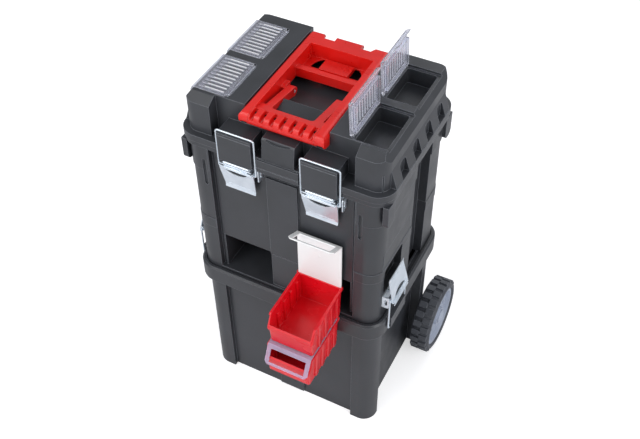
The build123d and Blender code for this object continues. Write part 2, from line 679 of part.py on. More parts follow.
with BuildPart() as trolley_tube_collars:
    for side in (-1, 1):
        with BuildSketch(Plane.XY.offset(tube_top_z - 14)):
            with Locations((side * tube_x, tube_y)):
                Circle(tube_radius + 2.5)
                Circle(tube_radius + bore_clearance, mode=Mode.SUBTRACT)
        extrude(amount=14)
        with BuildSketch(Plane.XY.offset(tube_top_z)):
            with Locations((side * tube_x, tube_y)):
                Circle(tube_radius + 2.5)
                Circle(inner_tube_radius + slide_clearance, mode=Mode.SUBTRACT)
        extrude(amount=4)
save(trolley_tube_collars, "trolley_tube_collars")

with BuildPart() as trolley_inner_tubes:
    for side in (-1, 1):
        with BuildSketch(Plane.XY.offset(inner_tube_bottom_z)):
            with Locations((side * tube_x, tube_y)):
                Circle(inner_tube_radius)
                Circle(inner_tube_radius - inner_tube_wall, mode=Mode.SUBTRACT)
        extrude(amount=grip_low_z + 4 - inner_tube_bottom_z)
save(trolley_inner_tubes, "trolley_inner_tubes")

with BuildPart() as trolley_grip:
    with BuildSketch(Plane.XY.offset(grip_low_z)):
        with Locations((0, tube_y)):
            SlotOverall(2 * grip_half_length, 2 * grip_half_depth)
    extrude(amount=grip_height)
    chamfer(trolley_grip.edges().group_by(Axis.Z)[-1], 4)
    span_box((-tube_x - rod_radius - 1.5, tube_y - rod_radius - 2, grip_low_z + 4),
             (tube_x + rod_radius + 1.5, tube_y + rod_radius + 2, rod_bar_z + rod_radius + 1), Mode.SUBTRACT)
    span_box((-button_half_width - 0.4, tube_y - 6.4, rod_bar_z + rod_radius - button_travel - 0.5),
             (button_half_width + 0.4, tube_y + 6.4, grip_top_z + 1), Mode.SUBTRACT)
    for side in (-1, 1):
        with BuildSketch(Plane.XY.offset(grip_low_z)):
            with Locations((side * tube_x, tube_y)):
                Circle(inner_tube_radius + bore_clearance)
        extrude(amount=4, mode=Mode.SUBTRACT)
save(trolley_grip, "trolley_grip")

with BuildPart() as trolley_release_rods:
    span_box((-tube_x - rod_radius, tube_y - rod_radius, rod_bar_z - rod_radius),
             (tube_x + rod_radius, tube_y + rod_radius, rod_bar_z + rod_radius))
    for side in (-1, 1):
        with Locations((side * tube_x, tube_y, (rod_bar_z + inner_tube_bottom_z + 20) / 2)):
            Cylinder(rod_radius, rod_bar_z - inner_tube_bottom_z - 20)
save(trolley_release_rods, "trolley_release_rods")

with BuildPart() as trolley_release_button:
    with BuildSketch(Plane.XY.offset(rod_bar_z + rod_radius)):
        with Locations((0, tube_y)):
            RectangleRounded(2 * button_half_width, 12, 3)
    extrude(amount=grip_top_z + button_rise - rod_bar_z - rod_radius)
    chamfer(trolley_release_button.edges().group_by(Axis.Z)[-1], 1.2)
save(trolley_release_button, "trolley_release_button")


def tube_bracket(face_y, low_z, high_z):
    """A moulded clamp that holds both tubes against the base, with two screw bosses."""
    with BuildSketch(Plane.XY.offset(low_z)) as outline:
        with Locations((0, (face_y + tube_y - 4) / 2)):
            Rectangle(2 * bracket_half_width, tube_y - 4 - face_y)
        with Locations((-tube_x, tube_y), (tube_x, tube_y)):
            Circle(tube_radius + 4.5)
        with Locations((0, (face_y + tube_y) / 2 + 6)):
            Rectangle(2 * tube_x - 44, tube_y - face_y, mode=Mode.SUBTRACT)
        with Locations((-tube_x, tube_y), (tube_x, tube_y)):
            Circle(tube_radius + bore_clearance, mode=Mode.SUBTRACT)
    extrude(outline.sketch, amount=high_z - low_z)


with BuildPart() as trolley_lower_bracket:
    tube_bracket(pad_face_y, lower_bracket_low_z, lower_bracket_high_z)
    with Locations(*lower_screws):
        Cylinder(screw_radius + bore_clearance, 60, mode=Mode.SUBTRACT)
save(trolley_lower_bracket, "trolley_lower_bracket")

with BuildPart() as trolley_upper_bracket:
    tube_bracket(collar_depth / 2, upper_bracket_low_z, upper_bracket_high_z)
    with Locations(*upper_screws):
        Cylinder(screw_radius + bore_clearance, 60, mode=Mode.SUBTRACT)
save(trolley_upper_bracket, "trolley_upper_bracket")

screw_plate = 6

with BuildPart() as trolley_screws:
    for screws in (lower_screws, upper_screws):
        with Locations(*[place * Location((0, 0, (screw_plate - screw_depth) / 2)) for place in screws]):
            Cylinder(screw_radius, screw_plate + screw_depth)
        with Locations(*[place * Location((0, 0, screw_plate + 1.25)) for place in screws]):
            Cylinder(screw_head_radius, 2.5)
save(trolley_screws, "trolley_screws")

# Toggle latches
ear_x = 20
ear_radius = 3.4
plate_low = -21
plate_high = 8
plate_half_width = 25
knuckle_outer = 3.4
eyelet_x = 34.2
eyelet_length = 24
eyelet_reach = 12
lever_start = 4.2
lever_ear_x = 27.2
lever_foot_z = knuckle_outer - lever_lean
ear_low_z = -bail_set_back - bail_wire / 2 - 1.3
bail_end_x = 25.5

for latch_name, plane in latch_planes.items():
    with BuildPart() as latch_plate:
        slab(plane, (-plate_half_width, plate_low, -latch_stand), (plate_half_width, plate_high, -latch_stand + sheet_metal))
        slab(plane, (plate_half_width - 1, plate_low, -latch_stand), (eyelet_x + sheet_metal, plate_low + eyelet_length, -latch_stand + sheet_metal))
        with BuildSketch(side_view(plane, eyelet_x)):
            with Locations((plate_low + eyelet_length / 2, -latch_stand + eyelet_reach / 2)):
                RectangleRounded(eyelet_length, eyelet_reach, 2.5)
            with Locations((plate_low + eyelet_length / 2, -latch_stand + eyelet_reach / 2 + 0.8)):
                SlotOverall(13, 5, mode=Mode.SUBTRACT)
        extrude(amount=sheet_metal)
        for ear_side in (-1, 1):
            with BuildSketch(side_view(plane, ear_side * (ear_x + sheet_metal / 2) - sheet_metal / 2)):
                Circle(ear_radius)
                with Locations((0, -latch_stand / 2)):
                    Rectangle(2 * ear_radius, latch_stand)
                Circle(pin_radius + bore_clearance, mode=Mode.SUBTRACT)
            extrude(amount=sheet_metal)
        with BuildSketch(plane.offset(-latch_stand)):
            with Locations((-rivet_x, -rivet_drop), (rivet_x, -rivet_drop)):
                Circle(rivet_radius + bore_clearance)
        extrude(amount=sheet_metal, mode=Mode.SUBTRACT)
    save(latch_plate, latch_name + "_latch_plate")

    with BuildPart() as latch_pin:
        with BuildSketch(side_view(plane, -ear_x - sheet_metal - 1)):
            Circle(pin_radius)
        extrude(amount=2 * (ear_x + sheet_metal + 1))
    save(latch_pin, latch_name + "_latch_pin")

    with BuildPart() as latch_lever:
        with BuildSketch(side_view(plane, -ear_x + 0.3)):
            Circle(knuckle_outer)
            with BuildLine():
                Polyline((0, knuckle_outer), (-lever_start - 1, knuckle_outer), (-lever_start - 1, knuckle_outer - sheet_metal),
                         (0, 0), close=True)
            make_face()
            Circle(pin_radius + bore_clearance, mode=Mode.SUBTRACT)
        extrude(amount=2 * (ear_x - 0.3))
        with BuildSketch(side_view(plane, -latch_half_width)):
            with BuildLine():
                Polyline((-lever_start, knuckle_outer), (-lever_length + 6, lever_foot_z),
                         (-lever_length, lever_foot_z + lever_lip), (-lever_length, lever_foot_z + lever_lip - sheet_metal),
                         (-lever_length + 6, lever_foot_z - sheet_metal),
                         (-lever_start, knuckle_outer - sheet_metal), close=True)
            make_face()
        extrude(amount=2 * latch_half_width)
        with BuildSketch(plane.offset(lever_foot_z - 3)):
            for edge_side in (-1, 1):
                with BuildLine():
                    Polyline((edge_side * latch_half_width, -17), (edge_side * (latch_half_width + 2), -17),
                             (edge_side * (latch_half_width + 2), -lever_length - 1),
                             (edge_side * lever_foot_half_width, -lever_length - 1), close=True)
                make_face()
            with BuildLine():
                ThreePointArc((-17, -13), (0, -16.5), (17, -13))
                ThreePointArc((17, -13), (0, -12), (-17, -13))
            make_face()
        extrude(amount=20, mode=Mode.SUBTRACT)
        for ear_side in (-1, 1):
            with BuildSketch(side_view(plane, ear_side * (lever_ear_x + sheet_metal / 2) - sheet_metal / 2)):
                with BuildLine():
                    Polyline((-lever_start, knuckle_outer - 0.4), (-lever_start - 1.5, ear_low_z),
                             (-lever_start - 8, ear_low_z), (-lever_start - 12.6, 0.2), close=True)
                make_face()
                with Locations((-bail_pivot_drop, -bail_set_back)):
                    Circle(bail_wire / 2 + bore_clearance, mode=Mode.SUBTRACT)
            extrude(amount=sheet_metal)
    save(latch_lever, latch_name + "_latch_lever")

    with BuildPart() as latch_bail:
        wire_plane = plane.offset(-bail_set_back)
        with BuildLine(wire_plane) as wire_path:
            FilletPolyline((-bail_end_x, -bail_pivot_drop), (-bail_half_width, -bail_pivot_drop),
                           (-bail_half_width, bail_reach), (bail_half_width, bail_reach),
                           (bail_half_width, -bail_pivot_drop), (bail_end_x, -bail_pivot_drop),
                           radius=(1.6, bail_bend, bail_bend, 1.6))
        with BuildSketch(Plane(origin=wire_path.line @ 0, z_dir=wire_path.line % 0)):
            Circle(bail_wire / 2)
        sweep(path=wire_path.line)
    save(latch_bail, latch_name + "_latch_bail")

with BuildPart() as latch_rivets:
    for plane in latch_planes.values():
        with BuildSketch(plane.offset(-latch_stand - 6 + fit_gap)):
            with Locations((-rivet_x, -rivet_drop), (rivet_x, -rivet_drop)):
                Circle(rivet_radius)
        extrude(amount=6 + sheet_metal)
        with BuildSketch(plane.offset(-latch_stand + sheet_metal)):
            with Locations((-rivet_x, -rivet_drop), (rivet_x, -rivet_drop)):
                Circle(rivet_radius + 1.2)
        extrude(amount=1.2)
save(latch_rivets, "latch_rivets")

# Red tray: two rails joined by a cross bar and a tub, open in front for the carry handle
tray_front_y = -rim_depth / 2 + 6
tray_seat_z = total_height - tray_flange
bar_back_y = bar_front_y + bar_width
bar_top_z = total_height - bar_drop
bar_low_z = bar_top_z - 16
tub_back_y = lid_depth / 2 - 38
tub_floor_z = total_height - tub_depth
rail_wall_low_z = total_height - basin_depth
rail_wall_front_y = lid_front_y + wall + fit_gap
rail_end_low_z = total_height - 22
notch_near_x = 22
notch_far_x = 44
notch_depth = 14
pivot_ear_half = 9
block_half = 24

with BuildPart() as top_tray:
    span_box((-tray_half_width, tray_front_y, tray_seat_z), (tray_half_width, tray_back_y, total_height))
    fillet(top_tray.edges().filter_by(Axis.Z), 5)
    span_box((-rail_inner, tray_front_y - 1, tray_seat_z - 1), (rail_inner, tub_back_y, total_height + 1), Mode.SUBTRACT)
    for side in (-1, 1):
        rail_low_x = min(side * rail_inner, side * tray_half_width)
        rail_high_x = max(side * rail_inner, side * tray_half_width)
        span_box((rail_low_x, tray_front_y, rail_end_low_z), (rail_high_x, lid_front_y - fit_gap, tray_seat_z))
        span_box((rail_low_x + tub_wall, tray_front_y + tub_wall, rail_end_low_z - 1),
                 (rail_high_x - tub_wall, lid_front_y - fit_gap - tub_wall, rail_end_low_z + 8), Mode.SUBTRACT)
        span_box((min(side * rail_inner, side * (rail_inner + tub_wall)), rail_wall_front_y, rail_wall_low_z),
                 (max(side * rail_inner, side * (rail_inner + tub_wall)), tub_back_y + tub_wall, tray_seat_z))
    front_edges = top_tray.edges().filter_by(Axis.X).filter_by(
        lambda edge: abs(edge.center().Y - tray_front_y) < 0.1 and edge.center().Z > total_height - 1)
    fillet(front_edges, 7)
    # The cross bar is a channel, open underneath
    span_box((-rail_inner - 1, bar_front_y, bar_low_z), (rail_inner + 1, bar_back_y, bar_top_z))
    span_box((-rail_inner, bar_front_y + tub_wall, bar_low_z - 1), (rail_inner, bar_back_y - tub_wall, bar_top_z - tub_wall),
             Mode.SUBTRACT)
    # The tub: its floor, back wall, two openings in the floor and the raised block between them
    span_box((-rail_inner - 1, bar_back_y - 1, tub_floor_z - tub_wall), (rail_inner + 1, tub_back_y + tub_wall, tub_floor_z))
    span_box((-rail_inner - 1, tub_back_y, tub_floor_z), (rail_inner + 1, tub_back_y + tub_wall, tray_seat_z))
    for side in (-1, 1):
        with BuildSketch(Plane.XY.offset(tub_floor_z - tub_wall - 1)):
            with BuildLine():
                ThreePointArc((side * (block_half + 17), bar_back_y + 17), (side * (block_half + 14.5), tub_back_y - 11),
                              (side * (block_half + 6), tub_back_y - 1))
                Polyline((side * (block_half + 6), tub_back_y - 1), (side * block_half, tub_back_y - 1),
                         (side * block_half, bar_back_y + 17), (side * (block_half + 17), bar_back_y + 17))
            make_face()
        extrude(amount=tub_wall + 2, mode=Mode.SUBTRACT)
        with BuildSketch(Plane.XY.offset(tray_seat_z - 1)):
            with BuildLine():
                Polyline((side * notch_near_x, tray_back_y + 1), (side * notch_near_x, tray_back_y - notch_depth),
                         (side * (notch_far_x - 5), tray_back_y - notch_depth), (side * notch_far_x, tray_back_y - 4),
                         (side * notch_far_x, tray_back_y + 1), close=True)
            make_face()
        extrude(amount=tray_flange + 2, mode=Mode.SUBTRACT)
        span_box((min(side * (arm_outer_x + handle_gap), side * (rail_inner + 1)), handle_pivot_y - pivot_ear_half,
                  handle_pivot_z - pivot_ear_half),
                 (max(side * (arm_outer_x + handle_gap), side * (rail_inner + 1)), handle_pivot_y + pivot_ear_half,
                  handle_pivot_z + pivot_ear_half))
    span_box((-block_half, bar_back_y + 12, tub_floor_z - 0.5), (block_half, tub_back_y - 5, tub_floor_z + 5))
    with Locations(Location((0, handle_pivot_y, handle_pivot_z), (0, 90, 0))):
        Cylinder(pivot_pin_radius + bore_clearance, 2 * (rail_inner - 2), mode=Mode.SUBTRACT)
save(top_tray, "top_tray")

with BuildPart() as handle_pivot_pins:
    for side in (-1, 1):
        with Locations(Location((side * (rail_inner - 2.5 + arm_outer_x - arm_width) / 2, handle_pivot_y, handle_pivot_z),
                                (0, 90, 0))):
            Cylinder(pivot_pin_radius, rail_inner - 2.5 - arm_outer_x + arm_width)
save(handle_pivot_pins, "handle_pivot_pins")

# Carry handle: a grip in front of the lid, a plate that steps down behind it, and two arms
plate_low_z = tray_seat_z + 2 * fit_gap
plate_back_y = lid_front_y + 23
plate_back_z = total_height - 7.5
plate_thickness = 6.5
grip_back_y = lid_front_y - 2.5
grip_step_y = lid_front_y + 2.5
grip_bottom_z = total_height - 24
grip_slots = 7
grip_slot_pitch = 15.7
grip_slot_depth = 5.5
grip_half = rail_inner - handle_gap

with BuildPart() as carry_handle:
    span_box((-grip_half, tray_front_y, grip_bottom_z), (grip_half, grip_back_y, total_height))
    grip_edges = carry_handle.edges().filter_by(Axis.X).filter_by(
        lambda edge: abs(edge.center().Y - tray_front_y) < 0.1)
    fillet(grip_edges, 8)
    with BuildSketch(Plane.YZ.offset(-grip_half)):
        with BuildLine():
            Polyline((grip_back_y - 1, total_height), (grip_step_y, total_height), (grip_step_y + 1, total_height - 3),
                     (plate_back_y, plate_back_z), (plate_back_y, plate_back_z - plate_thickness),
                     (lid_front_y + 5, plate_low_z), (grip_back_y - 1, plate_low_z), close=True)
        make_face()
    extrude(amount=2 * grip_half)
    with BuildSketch(Plane.XY.offset(total_height - grip_slot_depth)):
        with GridLocations(grip_slot_pitch, 1, grip_slots, 1):
            with Locations((0, (tray_front_y + grip_step_y) / 2 + 6)):
                SlotOverall(19, 6, rotation=90)
    extrude(amount=grip_slot_depth + 1, mode=Mode.SUBTRACT)
    with BuildSketch(Plane.XY.offset(grip_bottom_z)):
        with Locations((0, plate_back_y)):
            RectangleRounded(2 * (arm_outer_x - arm_width), 14, 6)
    extrude(amount=30, mode=Mode.SUBTRACT)
    for side in (-1, 1):
        with BuildSketch(Plane.YZ.offset(side * arm_outer_x)):
            with BuildLine():
                Polyline((plate_back_y - 6, plate_back_z), (plate_back_y, plate_back_z),
                         (handle_pivot_y, handle_pivot_z + arm_end_radius), (handle_pivot_y, handle_pivot_z - arm_end_radius),
                         (plate_back_y, plate_back_z - plate_thickness - 3), (plate_back_y - 6, plate_back_z - 4), close=True)
            make_face()
            with Locations((handle_pivot_y, handle_pivot_z)):
                Circle(arm_end_radius)
        extrude(amount=-side * arm_width)
    with Locations(Location((0, handle_pivot_y, handle_pivot_z), (0, 90, 0))):
        Cylinder(pivot_pin_radius + bore_clearance, 2 * rail_inner, mode=Mode.SUBTRACT)
save(carry_handle, "carry_handle")

# Organiser lids
organiser_length = pocket_far_y - pocket_near_y - 1
organiser_width = pocket_outer_x - organiser_hinge_x
barrel_radius = 1.8
skirt_height = 6
skirt_inset = 5
skirt_wall = 1.6
flange_drop = 6
clip_drop = flange_drop + 3
facet_gap = 0.6
facet_slope = side_facet_width / side_facet_drop
open_x = cos(radians(organiser_open_angle))
open_z = sin(radians(organiser_open_angle))


def organiser_plane(side, end, open_turned):
    """A lid's own plane: its origin on the hinge, X away from the hinge, Z out of its top face."""
    along = (side * open_x, 0, open_z) if open_turned else (side, 0, 0)
    out = (-side * open_z, 0, open_x) if open_turned else (0, 0, 1)
    middle = end * (pocket_near_y + pocket_far_y) / 2
    return Plane(origin=(side * organiser_hinge_x, middle, organiser_hinge_z), x_dir=along, z_dir=out)


def end_view(plane, y):
    """The plane seen along its hinge: away from the hinge, then out of the top face."""
    return Plane(origin=plane.origin + plane.y_dir * y, x_dir=plane.x_dir, z_dir=-plane.y_dir)


for side, side_name, is_open in ((-1, "left", False), (1, "right", True)):
    for end, end_name in ((-1, "front"), (1, "rear")):
        plane = organiser_plane(side, end, is_open)
        half = organiser_length / 2
        low = -1
        high = low + organiser_plate
        edge_x = lid_half - side_facet_width - organiser_hinge_x + (total_height - organiser_hinge_z - low) * facet_slope
        with BuildPart() as organiser_lid:
            for reach, half_length in ((flange_drop, half), (clip_drop, 8)):
                with BuildSketch(end_view(plane, half_length)):
                    with BuildLine():
                        Polyline((20, low), (edge_x + facet_gap, low),
                                 (edge_x + facet_gap + reach * facet_slope, low - reach),
                                 (edge_x + facet_gap + reach * facet_slope + 1.8, low - reach + 1),
                                 (edge_x + facet_gap + 1.8, high - 0.6), (edge_x + facet_gap + 0.6, high), (20, high),
                                 close=True)
                    make_face()
                extrude(amount=2 * half_length)
            slab(plane, (0, -half, low), (21, half, high))
            slab(plane, (-1, -half - 1, low - 1), (4.5, -groove_length / 2 + 0.5, high + 1), Mode.SUBTRACT)
            slab(plane, (-1, groove_length / 2 - 0.5, low - 1), (4.5, half + 1, high + 1), Mode.SUBTRACT)
            with BuildSketch(end_view(plane, groove_length / 2 - 0.5)):
                Circle(barrel_radius)
            extrude(amount=groove_length - 1)
            with BuildSketch(end_view(plane, groove_length / 2 + 3)):
                Circle(peg_radius)
            extrude(amount=groove_length + 6)
            skirt_far = pocket_outer_x - organiser_hinge_x - skirt_inset
            slab(plane, (skirt_inset + 1, -half + skirt_inset, low - skirt_height), (skirt_far, half - skirt_inset, low + 0.5))
            slab(plane, (skirt_inset + 1 + skirt_wall, -half + skirt_inset + skirt_wall, low - skirt_height - 1),
                 (skirt_far - skirt_wall, half - skirt_inset - skirt_wall, low), Mode.SUBTRACT)
            for n in range(organiser_ribs):
                rib_y = (n - (organiser_ribs - 1) / 2) * (2 * half - 14) / (organiser_ribs - 1)
                slab(plane, (9, rib_y - 1.2, high - 0.2), (edge_x - 7, rib_y + 1.2, high + 1))
        save(organiser_lid, side_name + "_" + end_name + "_organiser_lid")

# Bins
bin_floor_z = deck_z + fit_gap
bin_back_y = front_y + 2.5
lower_bin_back_y = -collar_depth / 2 - fit_gap
bin_lid_half = bin_width / 2 - 2
bin_ear_radius = 2.4
bin_hinge_inset = 1.5
bin_hinge_rise = bin_lid_gap + bin_lid_thickness / 2
flap_corner = 5
bin_lid_length = bin_length - bin_slope_length - bin_hinge_inset + 0.9
bin_pitch = bin_height + bin_hinge_rise + bin_ear_radius + fit_gap


def bin_body(back_y, floor_z):
    """An open bin with a sloped front, ribbed sides, a rim and two ears for its lid."""
    top_z = floor_z + bin_height
    kink_y = back_y - bin_length + bin_slope_length
    walls = []
    for inset in (0, bin_wall):
        with BuildSketch(Plane.XY.offset(floor_z + inset)) as foot:
            with Locations((bin_x, back_y - bin_length / 2 + 3)):
                RectangleRounded(bin_width - 2 * bin_taper - 2 * inset, bin_length - 8 - 2 * inset, 4 - inset)
        with BuildSketch(Plane.XY.offset(top_z)) as mouth:
            with Locations((bin_x, back_y - bin_length / 2)):
                RectangleRounded(bin_width - 3 - 2 * inset, bin_length - 2 * inset, 4 - inset)
        walls.append((foot.sketch, mouth.sketch))
    loft(sections=walls[0])
    with BuildSketch(Plane.XY.offset(top_z - 4)) as rim:
        with Locations((bin_x, back_y - bin_length / 2)):
            RectangleRounded(bin_width, bin_length, 5)
    extrude(rim.sketch, amount=4)
    for side in (-1, 1):
        rib_x = bin_x + side * (bin_width / 2 - 2)
        for n in range(bin_ribs):
            rib_y = back_y - 16 - n * bin_rib_pitch
            span_box((rib_x - 1.6, rib_y - 2.5, floor_z + 3), (rib_x + 1.6, rib_y + 2.5, top_z - 2))
        with BuildSketch(Plane.YZ.offset(bin_x + side * (bin_lid_half + fit_gap))) as ear:
            with Locations((back_y - bin_hinge_inset - 0.5, top_z + bin_hinge_rise)):
                Circle(bin_ear_radius)
            with Locations((back_y - bin_hinge_inset - 0.5, top_z)):
                Rectangle(2 * bin_ear_radius, 2 * bin_hinge_rise)
        extrude(ear.sketch, amount=side * (2 - fit_gap))
    loft(sections=walls[1], mode=Mode.SUBTRACT)
    with BuildSketch(Plane.YZ.offset(bin_x - bin_width)) as slope:
        with BuildLine():
            Polyline((kink_y, top_z), (kink_y, top_z + 5), (back_y - bin_length - 5, top_z + 5),
                     (back_y - bin_length - 5, top_z - bin_lip_drop), (back_y - bin_length, top_z - bin_lip_drop),
                     close=True)
        make_face()
    extrude(slope.sketch, amount=2 * bin_width, mode=Mode.SUBTRACT)
    with Locations(Location((bin_x, back_y - bin_hinge_inset, top_z + bin_hinge_rise), (0, 90, 0))):
        Cylinder(bin_peg_radius + bore_clearance, 2 * bin_width, mode=Mode.SUBTRACT)


def bin_lid(back_y, floor_z, forward, out):
    """A lid on its pegs: a flat plate, then a framed flap that lies over the sloped front."""
    hinge = Vector(bin_x, back_y - bin_hinge_inset, floor_z + bin_height + bin_hinge_rise)
    plate_plane = Plane(origin=hinge, x_dir=forward, z_dir=out)
    turn = radians(bin_flap_angle)
    ahead = plate_plane.x_dir * cos(turn) - plate_plane.z_dir * sin(turn)
    outward = plate_plane.x_dir * sin(turn) + plate_plane.z_dir * cos(turn)
    flap_plane = Plane(origin=hinge + plate_plane.x_dir * bin_lid_length, x_dir=ahead, z_dir=outward)
    half = bin_lid_thickness / 2
    slab(plate_plane, (0, -bin_lid_half, -half), (bin_lid_length, bin_lid_half, half))
    with BuildSketch(flap_plane.offset(-half)) as flap:
        with BuildLine():
            Polyline((0, -bin_lid_half), (bin_flap_length - flap_corner, -bin_lid_half),
                     (bin_flap_length, -bin_lid_half + flap_corner), (bin_flap_length, bin_lid_half - flap_corner),
                     (bin_flap_length - flap_corner, bin_lid_half), (0, bin_lid_half), close=True)
        make_face()
        with Locations(((7 + bin_flap_length - 4) / 2, 0)):
            Rectangle(bin_flap_length - 11, 2 * bin_lid_half - 14, mode=Mode.SUBTRACT)
    extrude(flap.sketch, amount=bin_lid_thickness)
    with Locations(Location(flap_plane.origin, (0, 90, 0))):
        Cylinder(half, 2 * bin_lid_half)
    with Locations(Location(hinge, (0, 90, 0))):
        Cylinder(bin_peg_radius, 2 * bin_lid_half + 3)


with BuildPart() as bin_upper:
    bin_body(bin_back_y, bin_floor_z)
save(bin_upper, "bin_upper")

with BuildPart() as bin_upper_lid:
    bin_lid(bin_back_y, bin_floor_z, (0, 0, 1), (0, 1, 0))
save(bin_upper_lid, "bin_upper_lid")

with BuildPart() as bin_lower:
    bin_body(lower_bin_back_y, bin_floor_z - bin_pitch)
save(bin_lower, "bin_lower")

with BuildPart() as bin_lower_lid:
    bin_lid(lower_bin_back_y, bin_floor_z - bin_pitch, (0, -1, 0), (0, 0, 1))
save(bin_lower_lid, "bin_lower_lid")
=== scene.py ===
import bpy
import json
import math
from collections import namedtuple
from mathutils import Matrix, Vector

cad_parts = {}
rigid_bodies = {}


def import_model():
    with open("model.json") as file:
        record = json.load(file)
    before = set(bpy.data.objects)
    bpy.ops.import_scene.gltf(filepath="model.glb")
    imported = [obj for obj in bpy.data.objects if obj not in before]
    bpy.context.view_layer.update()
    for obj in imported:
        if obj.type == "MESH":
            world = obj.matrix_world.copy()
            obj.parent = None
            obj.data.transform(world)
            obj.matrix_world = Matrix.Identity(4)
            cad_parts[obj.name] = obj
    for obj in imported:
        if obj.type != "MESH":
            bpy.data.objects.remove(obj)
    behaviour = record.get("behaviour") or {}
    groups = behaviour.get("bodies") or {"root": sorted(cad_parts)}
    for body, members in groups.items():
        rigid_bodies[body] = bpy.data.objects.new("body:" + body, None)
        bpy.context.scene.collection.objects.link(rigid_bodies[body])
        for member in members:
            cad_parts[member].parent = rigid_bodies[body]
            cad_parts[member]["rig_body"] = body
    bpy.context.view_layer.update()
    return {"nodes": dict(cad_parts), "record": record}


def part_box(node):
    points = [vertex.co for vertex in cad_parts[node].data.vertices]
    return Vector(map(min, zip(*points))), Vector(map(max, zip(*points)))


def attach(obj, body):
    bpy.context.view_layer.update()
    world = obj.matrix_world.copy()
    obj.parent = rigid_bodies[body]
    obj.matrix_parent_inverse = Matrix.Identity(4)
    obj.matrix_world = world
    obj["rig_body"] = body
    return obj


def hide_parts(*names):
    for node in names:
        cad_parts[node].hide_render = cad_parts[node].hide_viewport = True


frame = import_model()

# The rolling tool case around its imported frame. Lengths are in millimetres, and MM turns them
# into Blender's metres. Only the camera, the lamps and the floor are placed in metres.
MM = 0.001


# Small helpers


def linear(hex_colour):
    """An sRGB hex colour as the linear RGBA that a shader takes."""
    parts = [int(hex_colour[i:i + 2], 16) / 255 for i in (1, 3, 5)]
    straight = [c / 12.92 if c <= 0.04045 else ((c + 0.055) / 1.055) ** 2.4 for c in parts]
    return tuple(straight) + (1.0,)


def add_node(tree, kind, values=None, links=None, **settings):
    """Adds a node with its settings, its sockets' values and its links from other nodes' sockets."""
    node = tree.nodes.new(kind)
    for name, value in settings.items():
        setattr(node, name, value)
    for socket, value in (values or {}).items():
        node.inputs[socket].default_value = value
    for socket, source in (links or {}).items():
        tree.links.new(source, node.inputs[socket])
    return node


def new_material(name):
    """An empty node material, with coordinates in millimetres on the piece."""
    material = bpy.data.materials.new(name)
    material.use_nodes = True
    tree = material.node_tree
    tree.nodes.clear()
    place = add_node(tree, "ShaderNodeTexCoord")
    in_mm = (1 / MM, 1 / MM, 1 / MM)
    scale = add_node(tree, "ShaderNodeMapping", {"Scale": in_mm}, {"Vector": place.outputs["Object"]})
    return material, tree, scale.outputs["Vector"]


def colour_patches(tree, place, patch_mm, light, dark, detail=3.0):
    """Slow drift between two close shades, as pigment and polish vary over a real surface."""
    all_dark, all_light = 0.35, 0.68
    noise = add_node(tree, "ShaderNodeTexNoise",
                     {"Scale": 1 / patch_mm, "Detail": detail, "Roughness": 0.55}, {"Vector": place})
    ramp = add_node(tree, "ShaderNodeValToRGB", links={"Fac": noise.outputs["Fac"]})
    shades = ramp.color_ramp.elements
    shades[0].position = all_dark
    shades[0].color = linear(dark)
    shades[1].position = all_light
    shades[1].color = linear(light)
    return ramp.outputs["Color"]


def roughness_patches(tree, place, patch_mm, smooth, rough):
    """Handling leaves a surface a little shinier in patches."""
    all_smooth, all_rough = 0.3, 0.7
    noise = add_node(tree, "ShaderNodeTexNoise", {"Scale": 1 / patch_mm, "Detail": 4.0}, {"Vector": place})
    spread = add_node(tree, "ShaderNodeMapRange",
                      {"From Min": all_smooth, "From Max": all_rough, "To Min": smooth, "To Max": rough},
                      {"Value": noise.outputs["Fac"]})
    return spread.outputs["Result"]


def rounded_edges(tree, radius_mm):
    """The small radius that a mould or a press leaves on an edge, as a normal that turns over it."""
    return add_node(tree, "ShaderNodeBevel", {"Radius": radius_mm * MM}, samples=6).outputs["Normal"]


def edge_mask(tree, rounded):
    """One on the rounded edges and nothing on the flats, by how far the rounding turned the normal."""
    flat_cosine, edge_cosine = 0.995, 0.8
    flat = add_node(tree, "ShaderNodeNewGeometry")
    turned = add_node(tree, "ShaderNodeVectorMath", {}, {0: flat.outputs["Normal"], 1: rounded},
                      operation="DOT_PRODUCT")
    mask = add_node(tree, "ShaderNodeMapRange", {"From Min": flat_cosine, "From Max": edge_cosine},
                    {"Value": turned.outputs["Value"]})
    return mask.outputs["Result"]


def colour_with_painted_edge_highlight(tree, colour, edge_highlight, edges):
    """The surface's colour, with a lighter one painted along its edges as a painted highlight."""
    first_colour, second_colour, mixed_colour = 6, 7, 2
    mix = add_node(tree, "ShaderNodeMix", {second_colour: linear(edge_highlight)},
                   {"Factor": edge_mask(tree, edges), first_colour: colour}, data_type="RGBA")
    return mix.outputs[mixed_colour]


def grain_bump(tree, place, grain_mm, height_mm, under):
    """The fine relief of a mould or a rolled sheet, as a bump of a real height."""
    grain = add_node(tree, "ShaderNodeTexNoise", {"Scale": 1 / grain_mm, "Detail": 2.0}, {"Vector": place})
    bump = add_node(tree, "ShaderNodeBump", {"Strength": 1.0, "Distance": height_mm * MM},
                    {"Height": grain.outputs["Fac"], "Normal": under})
    return bump.outputs["Normal"]


def finish(tree, shader):
    """Makes a shader the material's surface."""
    add_node(tree, "ShaderNodeOutputMaterial", links={"Surface": shader})


# Materials


